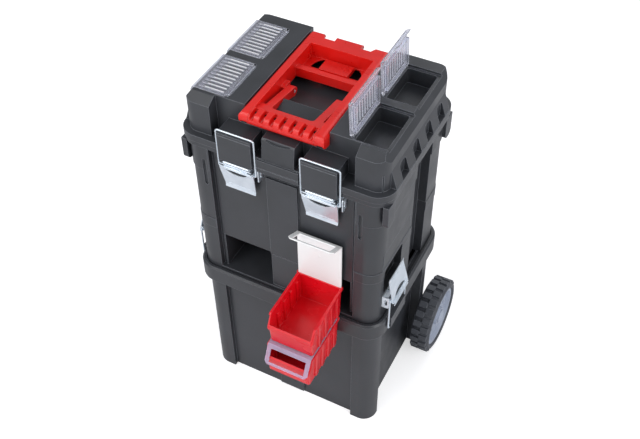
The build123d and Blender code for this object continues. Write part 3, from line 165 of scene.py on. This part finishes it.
def moulded_plastic(name, light, dark, edge_highlight, smooth, rough, grain_mm, grain_height_mm, edge_mm=1.2):
    """Injection-moulded plastic: even pigment, the mould's fine grain, and edges painted a little lighter as
    a painted highlight.
    """
    colour_mm, polish_mm = 70, 35
    material, tree, place = new_material(name)
    edges = rounded_edges(tree, edge_mm)
    pigment = colour_patches(tree, place, colour_mm, light, dark)
    shader = add_node(tree, "ShaderNodeBsdfPrincipled", {"IOR": 1.49}, {
        "Base Color": colour_with_painted_edge_highlight(tree, pigment, edge_highlight, edges),
        "Roughness": roughness_patches(tree, place, polish_mm, smooth, rough),
        "Normal": grain_bump(tree, place, grain_mm, grain_height_mm, edges),
    })
    finish(tree, shader.outputs["BSDF"])
    return material


# Each finish below has a lighter edge colour, a painted highlight along its rounded edges.
# Impact-modified polypropylene with carbon black: a dark neutral grey with a soft satin sheen.
# The real grain is about 0.3 mm; it is drawn at 1.1 mm so that it shows.
black_polypropylene = moulded_plastic(
    "black_moulded_polypropylene", light="#3b3d42", dark="#333539", edge_highlight="#83878f",
    smooth=0.3, rough=0.42, grain_mm=1.1, grain_height_mm=0.03)
# The same resin with an organic red pigment, from a smoother mould: brighter, with a clearer sheen.
red_polypropylene = moulded_plastic(
    "red_moulded_polypropylene", light="#e81d16", dark="#dc1812", edge_highlight="#ff4238",
    smooth=0.26, rough=0.36, grain_mm=1.3, grain_height_mm=0.015)
# The bins' red is cooler and a little glossier than the tray's.
bin_polypropylene = moulded_plastic(
    "cool_red_moulded_polypropylene", light="#ec1424", dark="#e0101e", edge_highlight="#ff4450",
    smooth=0.2, rough=0.3, grain_mm=1.3, grain_height_mm=0.012)
# Blue-grey polypropylene of the wheel centres.
grey_polypropylene = moulded_plastic(
    "blue_grey_moulded_polypropylene", light="#b2bacb", dark="#a6aebf", edge_highlight="#c4cbd9",
    smooth=0.38, rough=0.5, grain_mm=1.1, grain_height_mm=0.03)
# Soft vinyl tread pressed on the wheel: near black, dull, with a slightly open skin.
vinyl_tread = moulded_plastic(
    "black_vinyl_tread", light="#505359", dark="#464950", edge_highlight="#6e7179",
    smooth=0.45, rough=0.58, grain_mm=0.9, grain_height_mm=0.05, edge_mm=1.5)


def clear_plastic(name, tint, haze, haze_share, smooth, rough):
    """Transparent moulded plastic: a polished skin over a little haze, with white haze painted thicker along
    the edges as a painted highlight.
    """
    flow_mm, ripple_mm, edge_mm = 24, 0.004, 0.9
    polish_mm, haze_mm = 30, 40
    painted_edge_highlight_haze = 0.95
    material, tree, place = new_material(name)
    flow = add_node(tree, "ShaderNodeTexNoise", {"Scale": 1 / flow_mm, "Detail": 1.0}, {"Vector": place})
    edges = rounded_edges(tree, edge_mm)
    ripple = add_node(tree, "ShaderNodeBump", {"Strength": 1.0, "Distance": ripple_mm * MM},
                      {"Height": flow.outputs["Fac"], "Normal": edges})
    # The real IOR is about 1.5. A lower one keeps thin walls with many ribs as clear as they look.
    clear = add_node(tree, "ShaderNodeBsdfPrincipled", {
        "Base Color": linear(tint),
        "IOR": 1.2,
        "Transmission Weight": 1.0,
    }, {
        "Roughness": roughness_patches(tree, place, polish_mm, smooth, rough),
        "Normal": ripple.outputs["Normal"],
    })
    hazy = add_node(tree, "ShaderNodeBsdfPrincipled", {"IOR": 1.5, "Roughness": 0.18}, {
        "Base Color": colour_patches(tree, place, haze_mm, haze, haze),
        "Normal": ripple.outputs["Normal"],
    })
    # Towards the edges the white haze is a painted highlight.
    share = add_node(tree, "ShaderNodeMapRange", {"To Min": haze_share, "To Max": painted_edge_highlight_haze},
                     {"Value": edge_mask(tree, edges)})
    both = add_node(tree, "ShaderNodeMixShader", {}, {
        0: share.outputs["Result"], 1: clear.outputs["BSDF"], 2: hazy.outputs["BSDF"]})
    finish(tree, both.outputs["Shader"])
    return material


# Clear polystyrene of the small-parts lids: glassy, with a cool cast and edges made bright by a painted
# highlight.
clear_polystyrene = clear_plastic(
    "clear_moulded_polystyrene", tint="#f4f6ff", haze="#f2f4ff", haze_share=0.1, smooth=0.02, rough=0.05)
# The crests of their ribs, painted white as a painted highlight along each rib.
rib_highlight_polystyrene = clear_plastic(
    "clear_polystyrene_painted_rib_highlights", tint="#ffffff", haze="#ffffff", haze_share=0.85, smooth=0.1, rough=0.2)
# Unpigmented polypropylene of the open bin lid: milky, so that what is behind only tints it.
milky_polypropylene = clear_plastic(
    "milky_moulded_polypropylene", tint="#fbfbff", haze="#ffffff", haze_share=0.97, smooth=0.15, rough=0.25)
# The shut bin lid has less pigment: a lilac haze that the red bin shows through, with pale edges from a
# painted highlight.
hazy_polypropylene = clear_plastic(
    "hazy_moulded_polypropylene", tint="#e9e0f2", haze="#d9c8e4", haze_share=0.42, smooth=0.1, rough=0.2)


def metal(name, light, dark, edge_highlight, smooth, rough, patch_mm, ripple_height_mm):
    """Sheet or wire metal with a thin plated skin, its edges painted brighter as a painted highlight."""
    edge_mm, ripple_mm = 0.4, 9
    material, tree, place = new_material(name)
    edges = rounded_edges(tree, edge_mm)
    plating = colour_patches(tree, place, patch_mm, light, dark, detail=2.0)
    # The passivated skin is partly a dull coating, so the surface isn't wholly metallic.
    shader = add_node(tree, "ShaderNodeBsdfPrincipled", {"Metallic": 0.75}, {
        "Base Color": colour_with_painted_edge_highlight(tree, plating, edge_highlight, edges),
        "Roughness": roughness_patches(tree, place, patch_mm, smooth, rough),
        "Normal": grain_bump(tree, place, ripple_mm, ripple_height_mm, edges),
    })
    finish(tree, shader.outputs["BSDF"])
    return material


# Bright blue-passivated zinc on stamped steel: a cold white metal with a faint cloudy drift.
zinc_plated_steel = metal(
    "bright_zinc_plated_steel", light="#e9f1f9", dark="#dae4ee", edge_highlight="#fafcff",
    smooth=0.28, rough=0.38, patch_mm=30, ripple_height_mm=0.008)

# Powder-coated steel tube: black with a fine orange-peel skin over a smooth tube. The coat is a
# plastic, so it is made as one.
powder_coated_steel = moulded_plastic(
    "black_powder_coated_steel", light="#26282b", dark="#202225", edge_highlight="#3c3e42",
    smooth=0.28, rough=0.36, grain_mm=2.2, grain_height_mm=0.02)

finishes = {
    "black_plastic": black_polypropylene,
    "red_plastic": red_polypropylene,
    "bin_red_plastic": bin_polypropylene,
    "grey_plastic": grey_polypropylene,
    "tyre_plastic": vinyl_tread,
    "clear_plastic": clear_polystyrene,
    "milky_plastic": milky_polypropylene,
    "zinc_steel": zinc_plated_steel,
    "black_steel": powder_coated_steel,
}
slot_of = {part["node"]: part["material_slot"] for part in frame["record"]["subparts"]}
for node_name, node in frame["nodes"].items():
    for material_slot in node.material_slots:
        material_slot.link = "OBJECT"
        material_slot.material = finishes[slot_of[node_name]]
for material_slot in frame["nodes"]["bin_lower_lid"].material_slots:
    material_slot.material = hazy_polypropylene


# Modelling helpers

SMOOTH_BELOW = math.radians(40)
CUTTER_EDGE_MM = 0.2


def clear_selection():
    for other in bpy.context.view_layer.objects:
        other.select_set(False)


def select_only(*chosen):
    clear_selection()
    for piece in chosen:
        piece.select_set(True)
    bpy.context.view_layer.objects.active = chosen[0]


def settle(piece):
    """Puts a piece's place, turn and size into its mesh."""
    select_only(piece)
    bpy.ops.object.transform_apply(location=True, rotation=True, scale=True)


def round_and_smooth(piece, edge_mm, segments, sharper_than=None):
    """Rounds a piece's edges, or only those sharper than an angle, and shades its curves smooth."""
    rounding = piece.modifiers.new("rounding", "BEVEL")
    rounding.width = edge_mm * MM
    rounding.segments = segments
    if sharper_than is not None:
        rounding.angle_limit = sharper_than
    bpy.ops.object.modifier_apply(modifier=rounding.name)
    bpy.ops.object.shade_smooth_by_angle(angle=SMOOTH_BELOW)


def soft_block(middle, size, edge_mm, lean=0.0, segments=3):
    """A block with rounded edges, leaning about X by an angle in degrees."""
    clear_selection()
    bpy.ops.mesh.primitive_cube_add(size=1, location=[v * MM for v in middle],
                                    rotation=(math.radians(lean), 0, 0), scale=[v * MM for v in size])
    block = bpy.context.object
    settle(block)
    round_and_smooth(block, edge_mm, segments)
    return block


def rod(start, end, radius_mm, edge_mm=0.4, sides=24):
    """A round bar with softened ends between two points."""
    run = Vector(end) - Vector(start)
    clear_selection()
    bpy.ops.mesh.primitive_cylinder_add(vertices=sides, radius=radius_mm * MM, depth=run.length * MM,
                                        location=(Vector(start) + Vector(end)) / 2 * MM,
                                        rotation=run.to_track_quat("Z", "Y").to_euler())
    bar = bpy.context.object
    settle(bar)
    round_and_smooth(bar, edge_mm, segments=2, sharper_than=math.radians(60))
    return bar


def one_piece(name, blocks, node_name, slot_name=None):
    """Joins blocks into one piece that moves as a CAD node does, and has that node's finish or its own."""
    slot_name = slot_name or slot_of[node_name]
    select_only(*blocks)
    bpy.ops.object.join()
    piece = bpy.context.object
    piece.name = name
    piece.data.name = name
    piece.data.materials.clear()
    piece.data.materials.append(finishes[slot_name])
    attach(piece, frame["nodes"][node_name]["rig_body"])
    return piece


def turn_about(piece, point, axis, angle):
    """Turns a piece's mesh about an axis through a point."""
    pivot = Matrix.Translation(Vector(point) * MM)
    piece.matrix_world = pivot @ Matrix.Rotation(angle, 4, axis) @ pivot.inverted()
    settle(piece)
    return piece


def box_mm(node_name):
    """A node's lowest and highest corners."""
    low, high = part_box(node_name)
    return [v / MM for v in low], [v / MM for v in high]


def cut(piece, cutter, operation="DIFFERENCE"):
    """Takes a cutter's shape out of a piece, or keeps only what is inside it."""
    select_only(piece)
    carving = piece.modifiers.new("cut", "BOOLEAN")
    carving.operation = operation
    carving.solver = "EXACT"
    carving.object = cutter
    bpy.ops.object.modifier_apply(modifier=carving.name)
    bpy.data.objects.remove(cutter)


def copy_of_node(node_name):
    """A copy of a CAD node's mesh with its corners joined, ready to be carved."""
    joined_within_mm = 0.005
    copy = bpy.data.objects.new(node_name + "_copy", frame["nodes"][node_name].data.copy())
    bpy.context.scene.collection.objects.link(copy)
    select_only(copy)
    bpy.ops.object.mode_set(mode="EDIT")
    bpy.ops.mesh.select_all(action="SELECT")
    bpy.ops.mesh.remove_doubles(threshold=joined_within_mm * MM)
    bpy.ops.object.mode_set(mode="OBJECT")
    if copy.data.has_custom_normals:
        bpy.ops.mesh.customdata_custom_splitnormals_clear()
    return copy


def carved_node(name, blocks, node_name):
    """A carved copy, joined with what was added to it, that stands for its node."""
    piece = one_piece(name, blocks, node_name)
    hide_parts(node_name)
    return piece


def even_shading(copy):
    """Merges the slivers that carving leaves in flat faces and evens the shading round them."""
    flat_within, smooth_below = math.radians(0.3), math.radians(25)
    select_only(copy)
    bpy.ops.object.mode_set(mode="EDIT")
    bpy.ops.mesh.select_all(action="SELECT")
    bpy.ops.mesh.dissolve_limited(angle_limit=flat_within)
    bpy.ops.object.mode_set(mode="OBJECT")
    bpy.ops.object.shade_smooth_by_angle(angle=smooth_below)
    even = copy.modifiers.new("even_shading", "WEIGHTED_NORMAL")
    even.keep_sharp = True
    bpy.ops.object.modifier_apply(modifier=even.name)


# Carry handle and tray: their front end is round, and the finger slots run over its edge

cad_end_trim = 6.5
grip_height = 21
grip_round = 9
grip_round_segments = 8
outside_size = (180, 22, 44)
outside_setback = 1
inside_width = 260
inside_length = 80
finger_slot_count = 7
finger_slot_pitch = 15.7
finger_slot_size = (7, 24, 14)
finger_slot_round = 3.2
finger_slot_setback = 9
finger_slot_sunk = 2

handle_low, handle_high = box_mm("carry_handle")
grip_front_y = handle_low[1] + cad_end_trim
grip_top_z = handle_high[2]
grip_bottom_z = grip_top_z - grip_height


def front_end_cutter():
    """All that lies outside the rounded front end."""
    middle_z = (grip_bottom_z + grip_top_z) / 2
    outside = soft_block((0, grip_front_y + outside_setback, middle_z), outside_size, CUTTER_EDGE_MM)
    inside = soft_block((0, grip_front_y + inside_length / 2, middle_z),
                        (inside_width, inside_length, grip_top_z - grip_bottom_z),
                        grip_round, segments=grip_round_segments)
    cut(outside, inside)
    return outside


handle = copy_of_node("carry_handle")
cut(handle, front_end_cutter())
for n in range(finger_slot_count):
    slot_x = (n - (finger_slot_count - 1) / 2) * finger_slot_pitch
    slot_middle = (slot_x, grip_front_y + finger_slot_setback, grip_top_z - finger_slot_sunk)
    cut(handle, soft_block(slot_middle, finger_slot_size, finger_slot_round))
even_shading(handle)
carved_node("carry_handle_round_grip", [handle], "carry_handle")

tray = copy_of_node("top_tray")
cut(tray, front_end_cutter())
even_shading(tray)
carved_node("top_tray_round_ends", [tray], "top_tray")

# Latches: the lens-shaped slot, the foot line and the rolled bars of each lever. Places on a latch
# are measured from the middle of its pin: along the pin, up the case and out from it.

lever_half = 27
sheet_top = -4.2
sheet_face = 3.4
sheet_lean = math.radians(12)
lens_top = -11
lens_height = 9
lens_half_width = 20
lens_radius = (lens_half_width ** 2 + lens_height ** 2) / (2 * lens_height)
lens_sides = 96
lens_cut_depths = (-4, 8)
painted_shade_plate_depths = (sheet_face - 3, sheet_face - 2)
below_lens_top = (60, 40, 40)
foot_line_place = (0, -47, sheet_face)
foot_line_size = (43, 1.4, 1.2)
# Height, depth, radius and end rounding of each rolled bar, from the pin down.
rolled_bars = ((0.6, 4.43, 0.9, 0.3), (-5.2, 4.1, 1.2, 0.4), (-8.4, 3.3, 1.0, 0.4))

Latch = namedtuple("Latch", "pin across up out")


def on_latch(latch, along, height, depth):
    return latch.pin + latch.across * along + latch.up * height + latch.out * depth


def latch_block(latch, middle, size, edge_mm):
    directions = zip(latch.across, latch.up, latch.out)
    spread = [abs(a * size[0]) + abs(b * size[1]) + abs(c * size[2]) for a, b, c in directions]
    return soft_block(on_latch(latch, *middle), spread, edge_mm)


def lean_along_sheet(latch, piece):
    """Turns a piece about the pin's direction until it lies along the lever's sheet."""
    return turn_about(piece, on_latch(latch, 0, sheet_top, sheet_face), latch.across, sheet_lean)


def lens(latch, depths):
    """The slot's outline, straight above and round below, between two depths."""
    centre = lens_top - lens_height + lens_radius
    back, front = [on_latch(latch, 0, centre, depth) for depth in depths]
    outline = rod(back, front, lens_radius, sides=lens_sides)
    kept = latch_block(latch, (0, lens_top - below_lens_top[1] / 2, 0), below_lens_top, CUTTER_EDGE_MM)
    cut(outline, kept, "INTERSECT")
    return lean_along_sheet(latch, outline)


def rolled_bar(latch, height, depth, radius_mm, edge_mm):
    ends = [on_latch(latch, along, height, depth) for along in (-lever_half, lever_half)]
    return rod(*ends, radius_mm, edge_mm)


latch_directions = {
    "front_left": (Vector((1, 0, 0)), Vector((0, -1, 0))),
    "front_right": (Vector((1, 0, 0)), Vector((0, -1, 0))),
    "left_side": (Vector((0, 1, 0)), Vector((-1, 0, 0))),
    "right_side": (Vector((0, -1, 0)), Vector((1, 0, 0))),
}
for latch_name, (across, out) in latch_directions.items():
    pin_low, pin_high = box_mm(latch_name + "_latch_pin")
    latch = Latch((Vector(pin_low) + Vector(pin_high)) / 2, across, out.cross(across), out)
    lever_name = latch_name + "_latch_lever"
    lever = copy_of_node(lever_name)
    cut(lever, lens(latch, lens_cut_depths))
    cut(lever, lean_along_sheet(latch, latch_block(latch, foot_line_place, foot_line_size, CUTTER_EDGE_MM)))
    # Just behind each slot, a black plate stands as painted shade, so that the slot looks dark.
    one_piece(latch_name + "_latch_slot_painted_shade_plate", [lens(latch, painted_shade_plate_depths)], lever_name,
              "black_plastic")
    rolls = [rolled_bar(latch, *bar) for bar in rolled_bars]
    carved_node(latch_name + "_latch_rolled_lever", [lever] + rolls, lever_name)

# Bins: the broad flutes of their sides, the ridges inside and the rolled lip round the sloped front

ear_rise = 3.9
bin_floor_half = 37
bin_floor_thickness = 3
flute_count = 4
flute_pitch = 21
first_flute_setback = 15
flute_thickness, flute_width, flute_round = 3.2, 10, 1.3
flute_proud = 1.1
flute_short = 7
flute_sunk = 0.5
ridge_thickness, ridge_width, ridge_round = 3.8, 6, 1.3
ridge_inset = 2.1
ridge_below_rim = 9
front_ridge_below_rim = 16
lip_drop = 26
slope_run = 14
slope_length = math.hypot(slope_run, lip_drop)
slope_lean = -math.degrees(math.atan2(slope_run, lip_drop))
slope_bead_size, slope_bead_round = (3.6, 2.8, slope_length), 1.1
slope_bead_inset, slope_bead_setback, slope_bead_sunk = 2, 1.6, 0.8
side_bead_width, side_bead_height, side_bead_round = 4.2, 3.8, 1.4
side_bead_inset, side_bead_sunk = 1.6, 2.1
front_bead_width, front_bead_height, front_bead_round = 4.6, 5, 1.6
front_bead_short, front_bead_setback, front_bead_sunk = 2, 2.7, 1.6
back_bead_width, back_bead_round = 3.4, 1.1
back_bead_short, back_bead_lead, back_bead_sunk = 4, 1.8, 2


def bin_side_blocks(side, middle_x, half, front_y, back_y, floor_z, rim_z):
    """One side's flutes and inner ridges, and the beads along its sloped and level rims."""
    blocks = []
    ridge_foot = floor_z + bin_floor_thickness
    for n in range(flute_count):
        flute_y = back_y - first_flute_setback - n * flute_pitch
        blocks.append(soft_block(
            (middle_x + side * (bin_floor_half + flute_proud), flute_y, (floor_z + rim_z) / 2 - flute_sunk),
            (flute_thickness, flute_width, rim_z - floor_z - flute_short), flute_round))
        is_front = n == flute_count - 1
        ridge_top = rim_z - (front_ridge_below_rim if is_front else ridge_below_rim)
        blocks.append(soft_block(
            (middle_x + side * (bin_floor_half - ridge_inset), flute_y, (ridge_foot + ridge_top) / 2),
            (ridge_thickness, ridge_width, ridge_top - ridge_foot), ridge_round))
    kink_y = front_y + slope_run
    slope_bead_y = (kink_y + front_y) / 2 + slope_bead_setback
    slope_bead_z = rim_z - lip_drop / 2 - slope_bead_sunk
    blocks.append(soft_block(
        (middle_x + side * (half - slope_bead_inset), slope_bead_y, slope_bead_z),
        slope_bead_size, slope_bead_round, lean=slope_lean))
    blocks.append(soft_block(
        (middle_x + side * (half - side_bead_inset), (kink_y + back_y) / 2, rim_z - side_bead_sunk),
        (side_bead_width, back_y - kink_y, side_bead_height), side_bead_round))
    return blocks


for bin_name in ("bin_upper", "bin_lower"):
    low, high = box_mm(bin_name)
    middle_x = (low[0] + high[0]) / 2
    half = (high[0] - low[0]) / 2
    front_y, back_y = low[1], high[1]
    rim_z = high[2] - ear_rise
    blocks = []
    for side in (-1, 1):
        blocks += bin_side_blocks(side, middle_x, half, front_y, back_y, low[2], rim_z)
    blocks.append(soft_block(
        (middle_x, front_y + front_bead_setback, rim_z - lip_drop - front_bead_sunk),
        (2 * half - front_bead_short, front_bead_width, front_bead_height), front_bead_round))
    blocks.append(soft_block(
        (middle_x, back_y - back_bead_lead, rim_z - back_bead_sunk),
        (2 * half - back_bead_short, back_bead_width, back_bead_width), back_bead_round))
    one_piece(bin_name + "_flutes_and_lip", blocks, bin_name)

# The trough in the lid under the carry handle, for the fingers: flat in front, curving up at the back

trough_half = 32.3
trough_depth = 40.5
trough_front_y = -92
bend_y = -38
bend_radius = 38
bend_turn = math.radians(62)
bend_steps = 14
back_run = (0, 26, 6)
trough_wall = 2
trough_joined_within = 0.01
trough_floor_z = box_mm("top_tray")[1][2] - trough_depth

clear_selection()
trough_middle = (0, (trough_front_y + bend_y) / 2 * MM, trough_floor_z * MM)
bpy.ops.mesh.primitive_plane_add(size=1, location=trough_middle)
trough = bpy.context.object
trough.scale = (2 * trough_half * MM, (bend_y - trough_front_y) * MM, 1)
settle(trough)
bpy.ops.object.mode_set(mode="EDIT")
bpy.ops.mesh.select_mode(type="VERT")
bpy.ops.mesh.select_all(action="DESELECT")
bpy.ops.object.mode_set(mode="OBJECT")
for corner in trough.data.vertices:
    corner.select = corner.co.y > (bend_y - 1) * MM
bpy.ops.object.mode_set(mode="EDIT")
bend_centre = (0, bend_y * MM, (trough_floor_z + bend_radius) * MM)
bpy.ops.mesh.spin(steps=bend_steps, angle=bend_turn, center=bend_centre, axis=(1, 0, 0))
bpy.ops.mesh.extrude_region_move(TRANSFORM_OT_translate={"value": [v * MM for v in back_run]})
bpy.ops.mesh.select_all(action="SELECT")
bpy.ops.mesh.remove_doubles(threshold=trough_joined_within * MM)
bpy.ops.mesh.normals_make_consistent(inside=False)
bpy.ops.object.mode_set(mode="OBJECT")
wall = trough.modifiers.new("wall", "SOLIDIFY")
wall.thickness = trough_wall * MM
wall.offset = 0
bpy.ops.object.modifier_apply(modifier=wall.name)
bpy.ops.object.shade_smooth_by_angle(angle=SMOOTH_BELOW)
one_piece("lid_finger_trough", [trough], "lid_shell")

# Organiser lids: white crests on their ribs as a painted highlight, measured from each lid's hinge

rib_count = 10
rib_span = 73
rib_pitch = rib_span / (rib_count - 1)
rib_near = 9.5
rib_far = 41
rib_top = 2.4
crest_width, crest_height, crest_round = 1.5, 0.5, 0.2
crest_sunk = 0.1
standing_open = {"left": 0, "right": math.radians(93)}
joint_place = {joint["name"]: joint["pos_m"] for joint in frame["record"]["behaviour"]["joints"]}

for side_name, side in (("left", -1), ("right", 1)):
    for end_name in ("front", "rear"):
        lid_name = side_name + "_" + end_name + "_organiser_lid"
        hinge = Vector(joint_place[lid_name + "_hinge"]) / MM
        crests = []
        for n in range(rib_count):
            rib_y = hinge.y + (n - (rib_count - 1) / 2) * rib_pitch
            crests.append(soft_block(
                (hinge.x + side * (rib_near + rib_far) / 2, rib_y, hinge.z + rib_top - crest_sunk),
                (rib_far - rib_near, crest_width, crest_height), crest_round, segments=2))
        select_only(*crests)
        bpy.ops.object.join()
        crest_piece = turn_about(bpy.context.object, hinge, (0, 1, 0), -standing_open[side_name])
        one_piece(lid_name + "_rib_crests", [crest_piece], lid_name).data.materials[0] = rib_highlight_polystyrene

# The rounded lip along the curved step of the lid's middle block: part of a large ring

lip_y = -124.7
lip_top_z = 612
lip_half = 20
lip_sag = 5
lip_kept_size = (2 * lip_half, 6, 9)
lip_kept_sunk = 4
lip_radius = 0.8
ring_radius = (lip_half ** 2 + lip_sag ** 2) / (2 * lip_sag)
ring_middle_z = lip_top_z - lip_sag + ring_radius
ring_sides, lip_sides = 160, 12

clear_selection()
bpy.ops.mesh.primitive_torus_add(major_segments=ring_sides, minor_segments=lip_sides,
                                 major_radius=ring_radius * MM, minor_radius=lip_radius * MM,
                                 location=(0, lip_y * MM, ring_middle_z * MM),
                                 rotation=(math.radians(90), 0, 0))
lip = bpy.context.object
settle(lip)
cut(lip, soft_block((0, lip_y, lip_top_z - lip_kept_sunk), lip_kept_size, CUTTER_EDGE_MM), "INTERSECT")
select_only(lip)
bpy.ops.object.shade_smooth_by_angle(angle=SMOOTH_BELOW)
# Thin and round, the lip takes the black plastic's painted edge highlight along its whole length.
one_piece("lid_middle_block_lip", [lip], "lid_shell")

# The gate mark in the middle of the open bin lid, where the mould was filled

gate_back_setback, gate_front_setback = 1, 2.4
gate_radius = 2.2
bin_lid_low, bin_lid_high = box_mm("bin_upper_lid")
gate_x = (bin_lid_low[0] + bin_lid_high[0]) / 2
gate_z = (bin_lid_low[2] + bin_lid_high[2]) / 2
gate_setbacks = (gate_front_setback, gate_back_setback)
gate_ends = [(gate_x, bin_lid_high[1] - setback, gate_z) for setback in gate_setbacks]
one_piece("bin_upper_lid_gate_mark", [rod(*gate_ends, gate_radius)], "bin_upper_lid")

# Camera: its place and turn were solved from the case's corners in the photograph

camera_place = Vector((0.50270, -0.95772, 1.46724))
camera_right = Vector((0.88958, 0.45670, -0.00850))
camera_up = Vector((-0.32349, 0.64304, 0.69416))
camera_back = Vector((0.32249, -0.61476, 0.71978))

camera_data = bpy.data.cameras.new("camera")
camera_data.lens = 51.71
camera_data.sensor_width = 36.0
camera_data.sensor_fit = "HORIZONTAL"
camera_data.clip_start = 0.05
camera = bpy.data.objects.new("camera", camera_data)
bpy.context.scene.collection.objects.link(camera)
turn = Matrix((camera_right, camera_up, camera_back)).transposed()
camera.matrix_world = Matrix.Translation(camera_place) @ turn.to_4x4()
bpy.context.scene.camera = camera

# Light and floor


def lamp(name, place, size, power, aim=(0.0, 0.0, 0.35)):
    """A soft square lamp that faces the middle of the case. Its place and size are in metres."""
    data = bpy.data.lights.new(name, "AREA")
    data.shape = "SQUARE"
    data.size = size
    data.energy = power
    light = bpy.data.objects.new(name, data)
    light.location = place
    light.rotation_euler = (Vector(place) - Vector(aim)).to_track_quat("Z", "Y").to_euler()
    bpy.context.scene.collection.objects.link(light)


lamp("key_lamp", (-1.3, -1.5, 2.4), size=1.6, power=26)
lamp("side_lamp", (2.0, -0.5, 1.5), size=1.4, power=20)
lamp("front_lamp", (-0.3, -2.4, 1.0), size=1.6, power=13)
lamp("back_lamp", (0.3, 1.9, 2.0), size=1.4, power=10)

# The world lights the case softly and shows white behind it, also through its clear lids.
world = bpy.data.worlds.new("studio")
bpy.context.scene.world = world
world.use_nodes = True
sky = world.node_tree
sky.nodes.clear()
rays = add_node(sky, "ShaderNodeLightPath")
seen = add_node(sky, "ShaderNodeMath", {}, {
    0: rays.outputs["Is Camera Ray"], 1: rays.outputs["Is Transmission Ray"]}, operation="MAXIMUM")
room_light = add_node(sky, "ShaderNodeBackground", {"Color": linear("#f4f6fa"), "Strength": 0.5})
backdrop = add_node(sky, "ShaderNodeBackground", {"Color": linear("#ffffff"), "Strength": 1.0})
room = add_node(sky, "ShaderNodeMixShader", {}, {
    0: seen.outputs["Value"], 1: room_light.outputs["Background"], 2: backdrop.outputs["Background"]})
add_node(sky, "ShaderNodeOutputWorld", {}, {"Surface": room.outputs["Shader"]})

# The floor is pale paper that looks white to the camera and keeps the case's shadow.
bpy.ops.mesh.primitive_plane_add(size=16)
floor = bpy.context.object
floor.name = "floor"
paper = bpy.data.materials.new("white_backdrop_paper")
paper.use_nodes = True
sheet = paper.node_tree
sheet.nodes.clear()
paper_rays = add_node(sheet, "ShaderNodeLightPath")
matt = add_node(sheet, "ShaderNodeBsdfDiffuse", {"Color": linear("#e8e8ea")})
glow = add_node(sheet, "ShaderNodeEmission", {"Color": linear("#ffffff"), "Strength": 0.55})
lifted = add_node(sheet, "ShaderNodeAddShader", {}, {0: matt.outputs["BSDF"], 1: glow.outputs["Emission"]})
choice = add_node(sheet, "ShaderNodeMixShader", {}, {
    0: paper_rays.outputs["Is Camera Ray"], 1: matt.outputs["BSDF"], 2: lifted.outputs["Shader"]})
finish(sheet, choice.outputs["Shader"])
floor.data.materials.append(paper)

bpy.context.scene.view_settings.view_transform = "Standard"
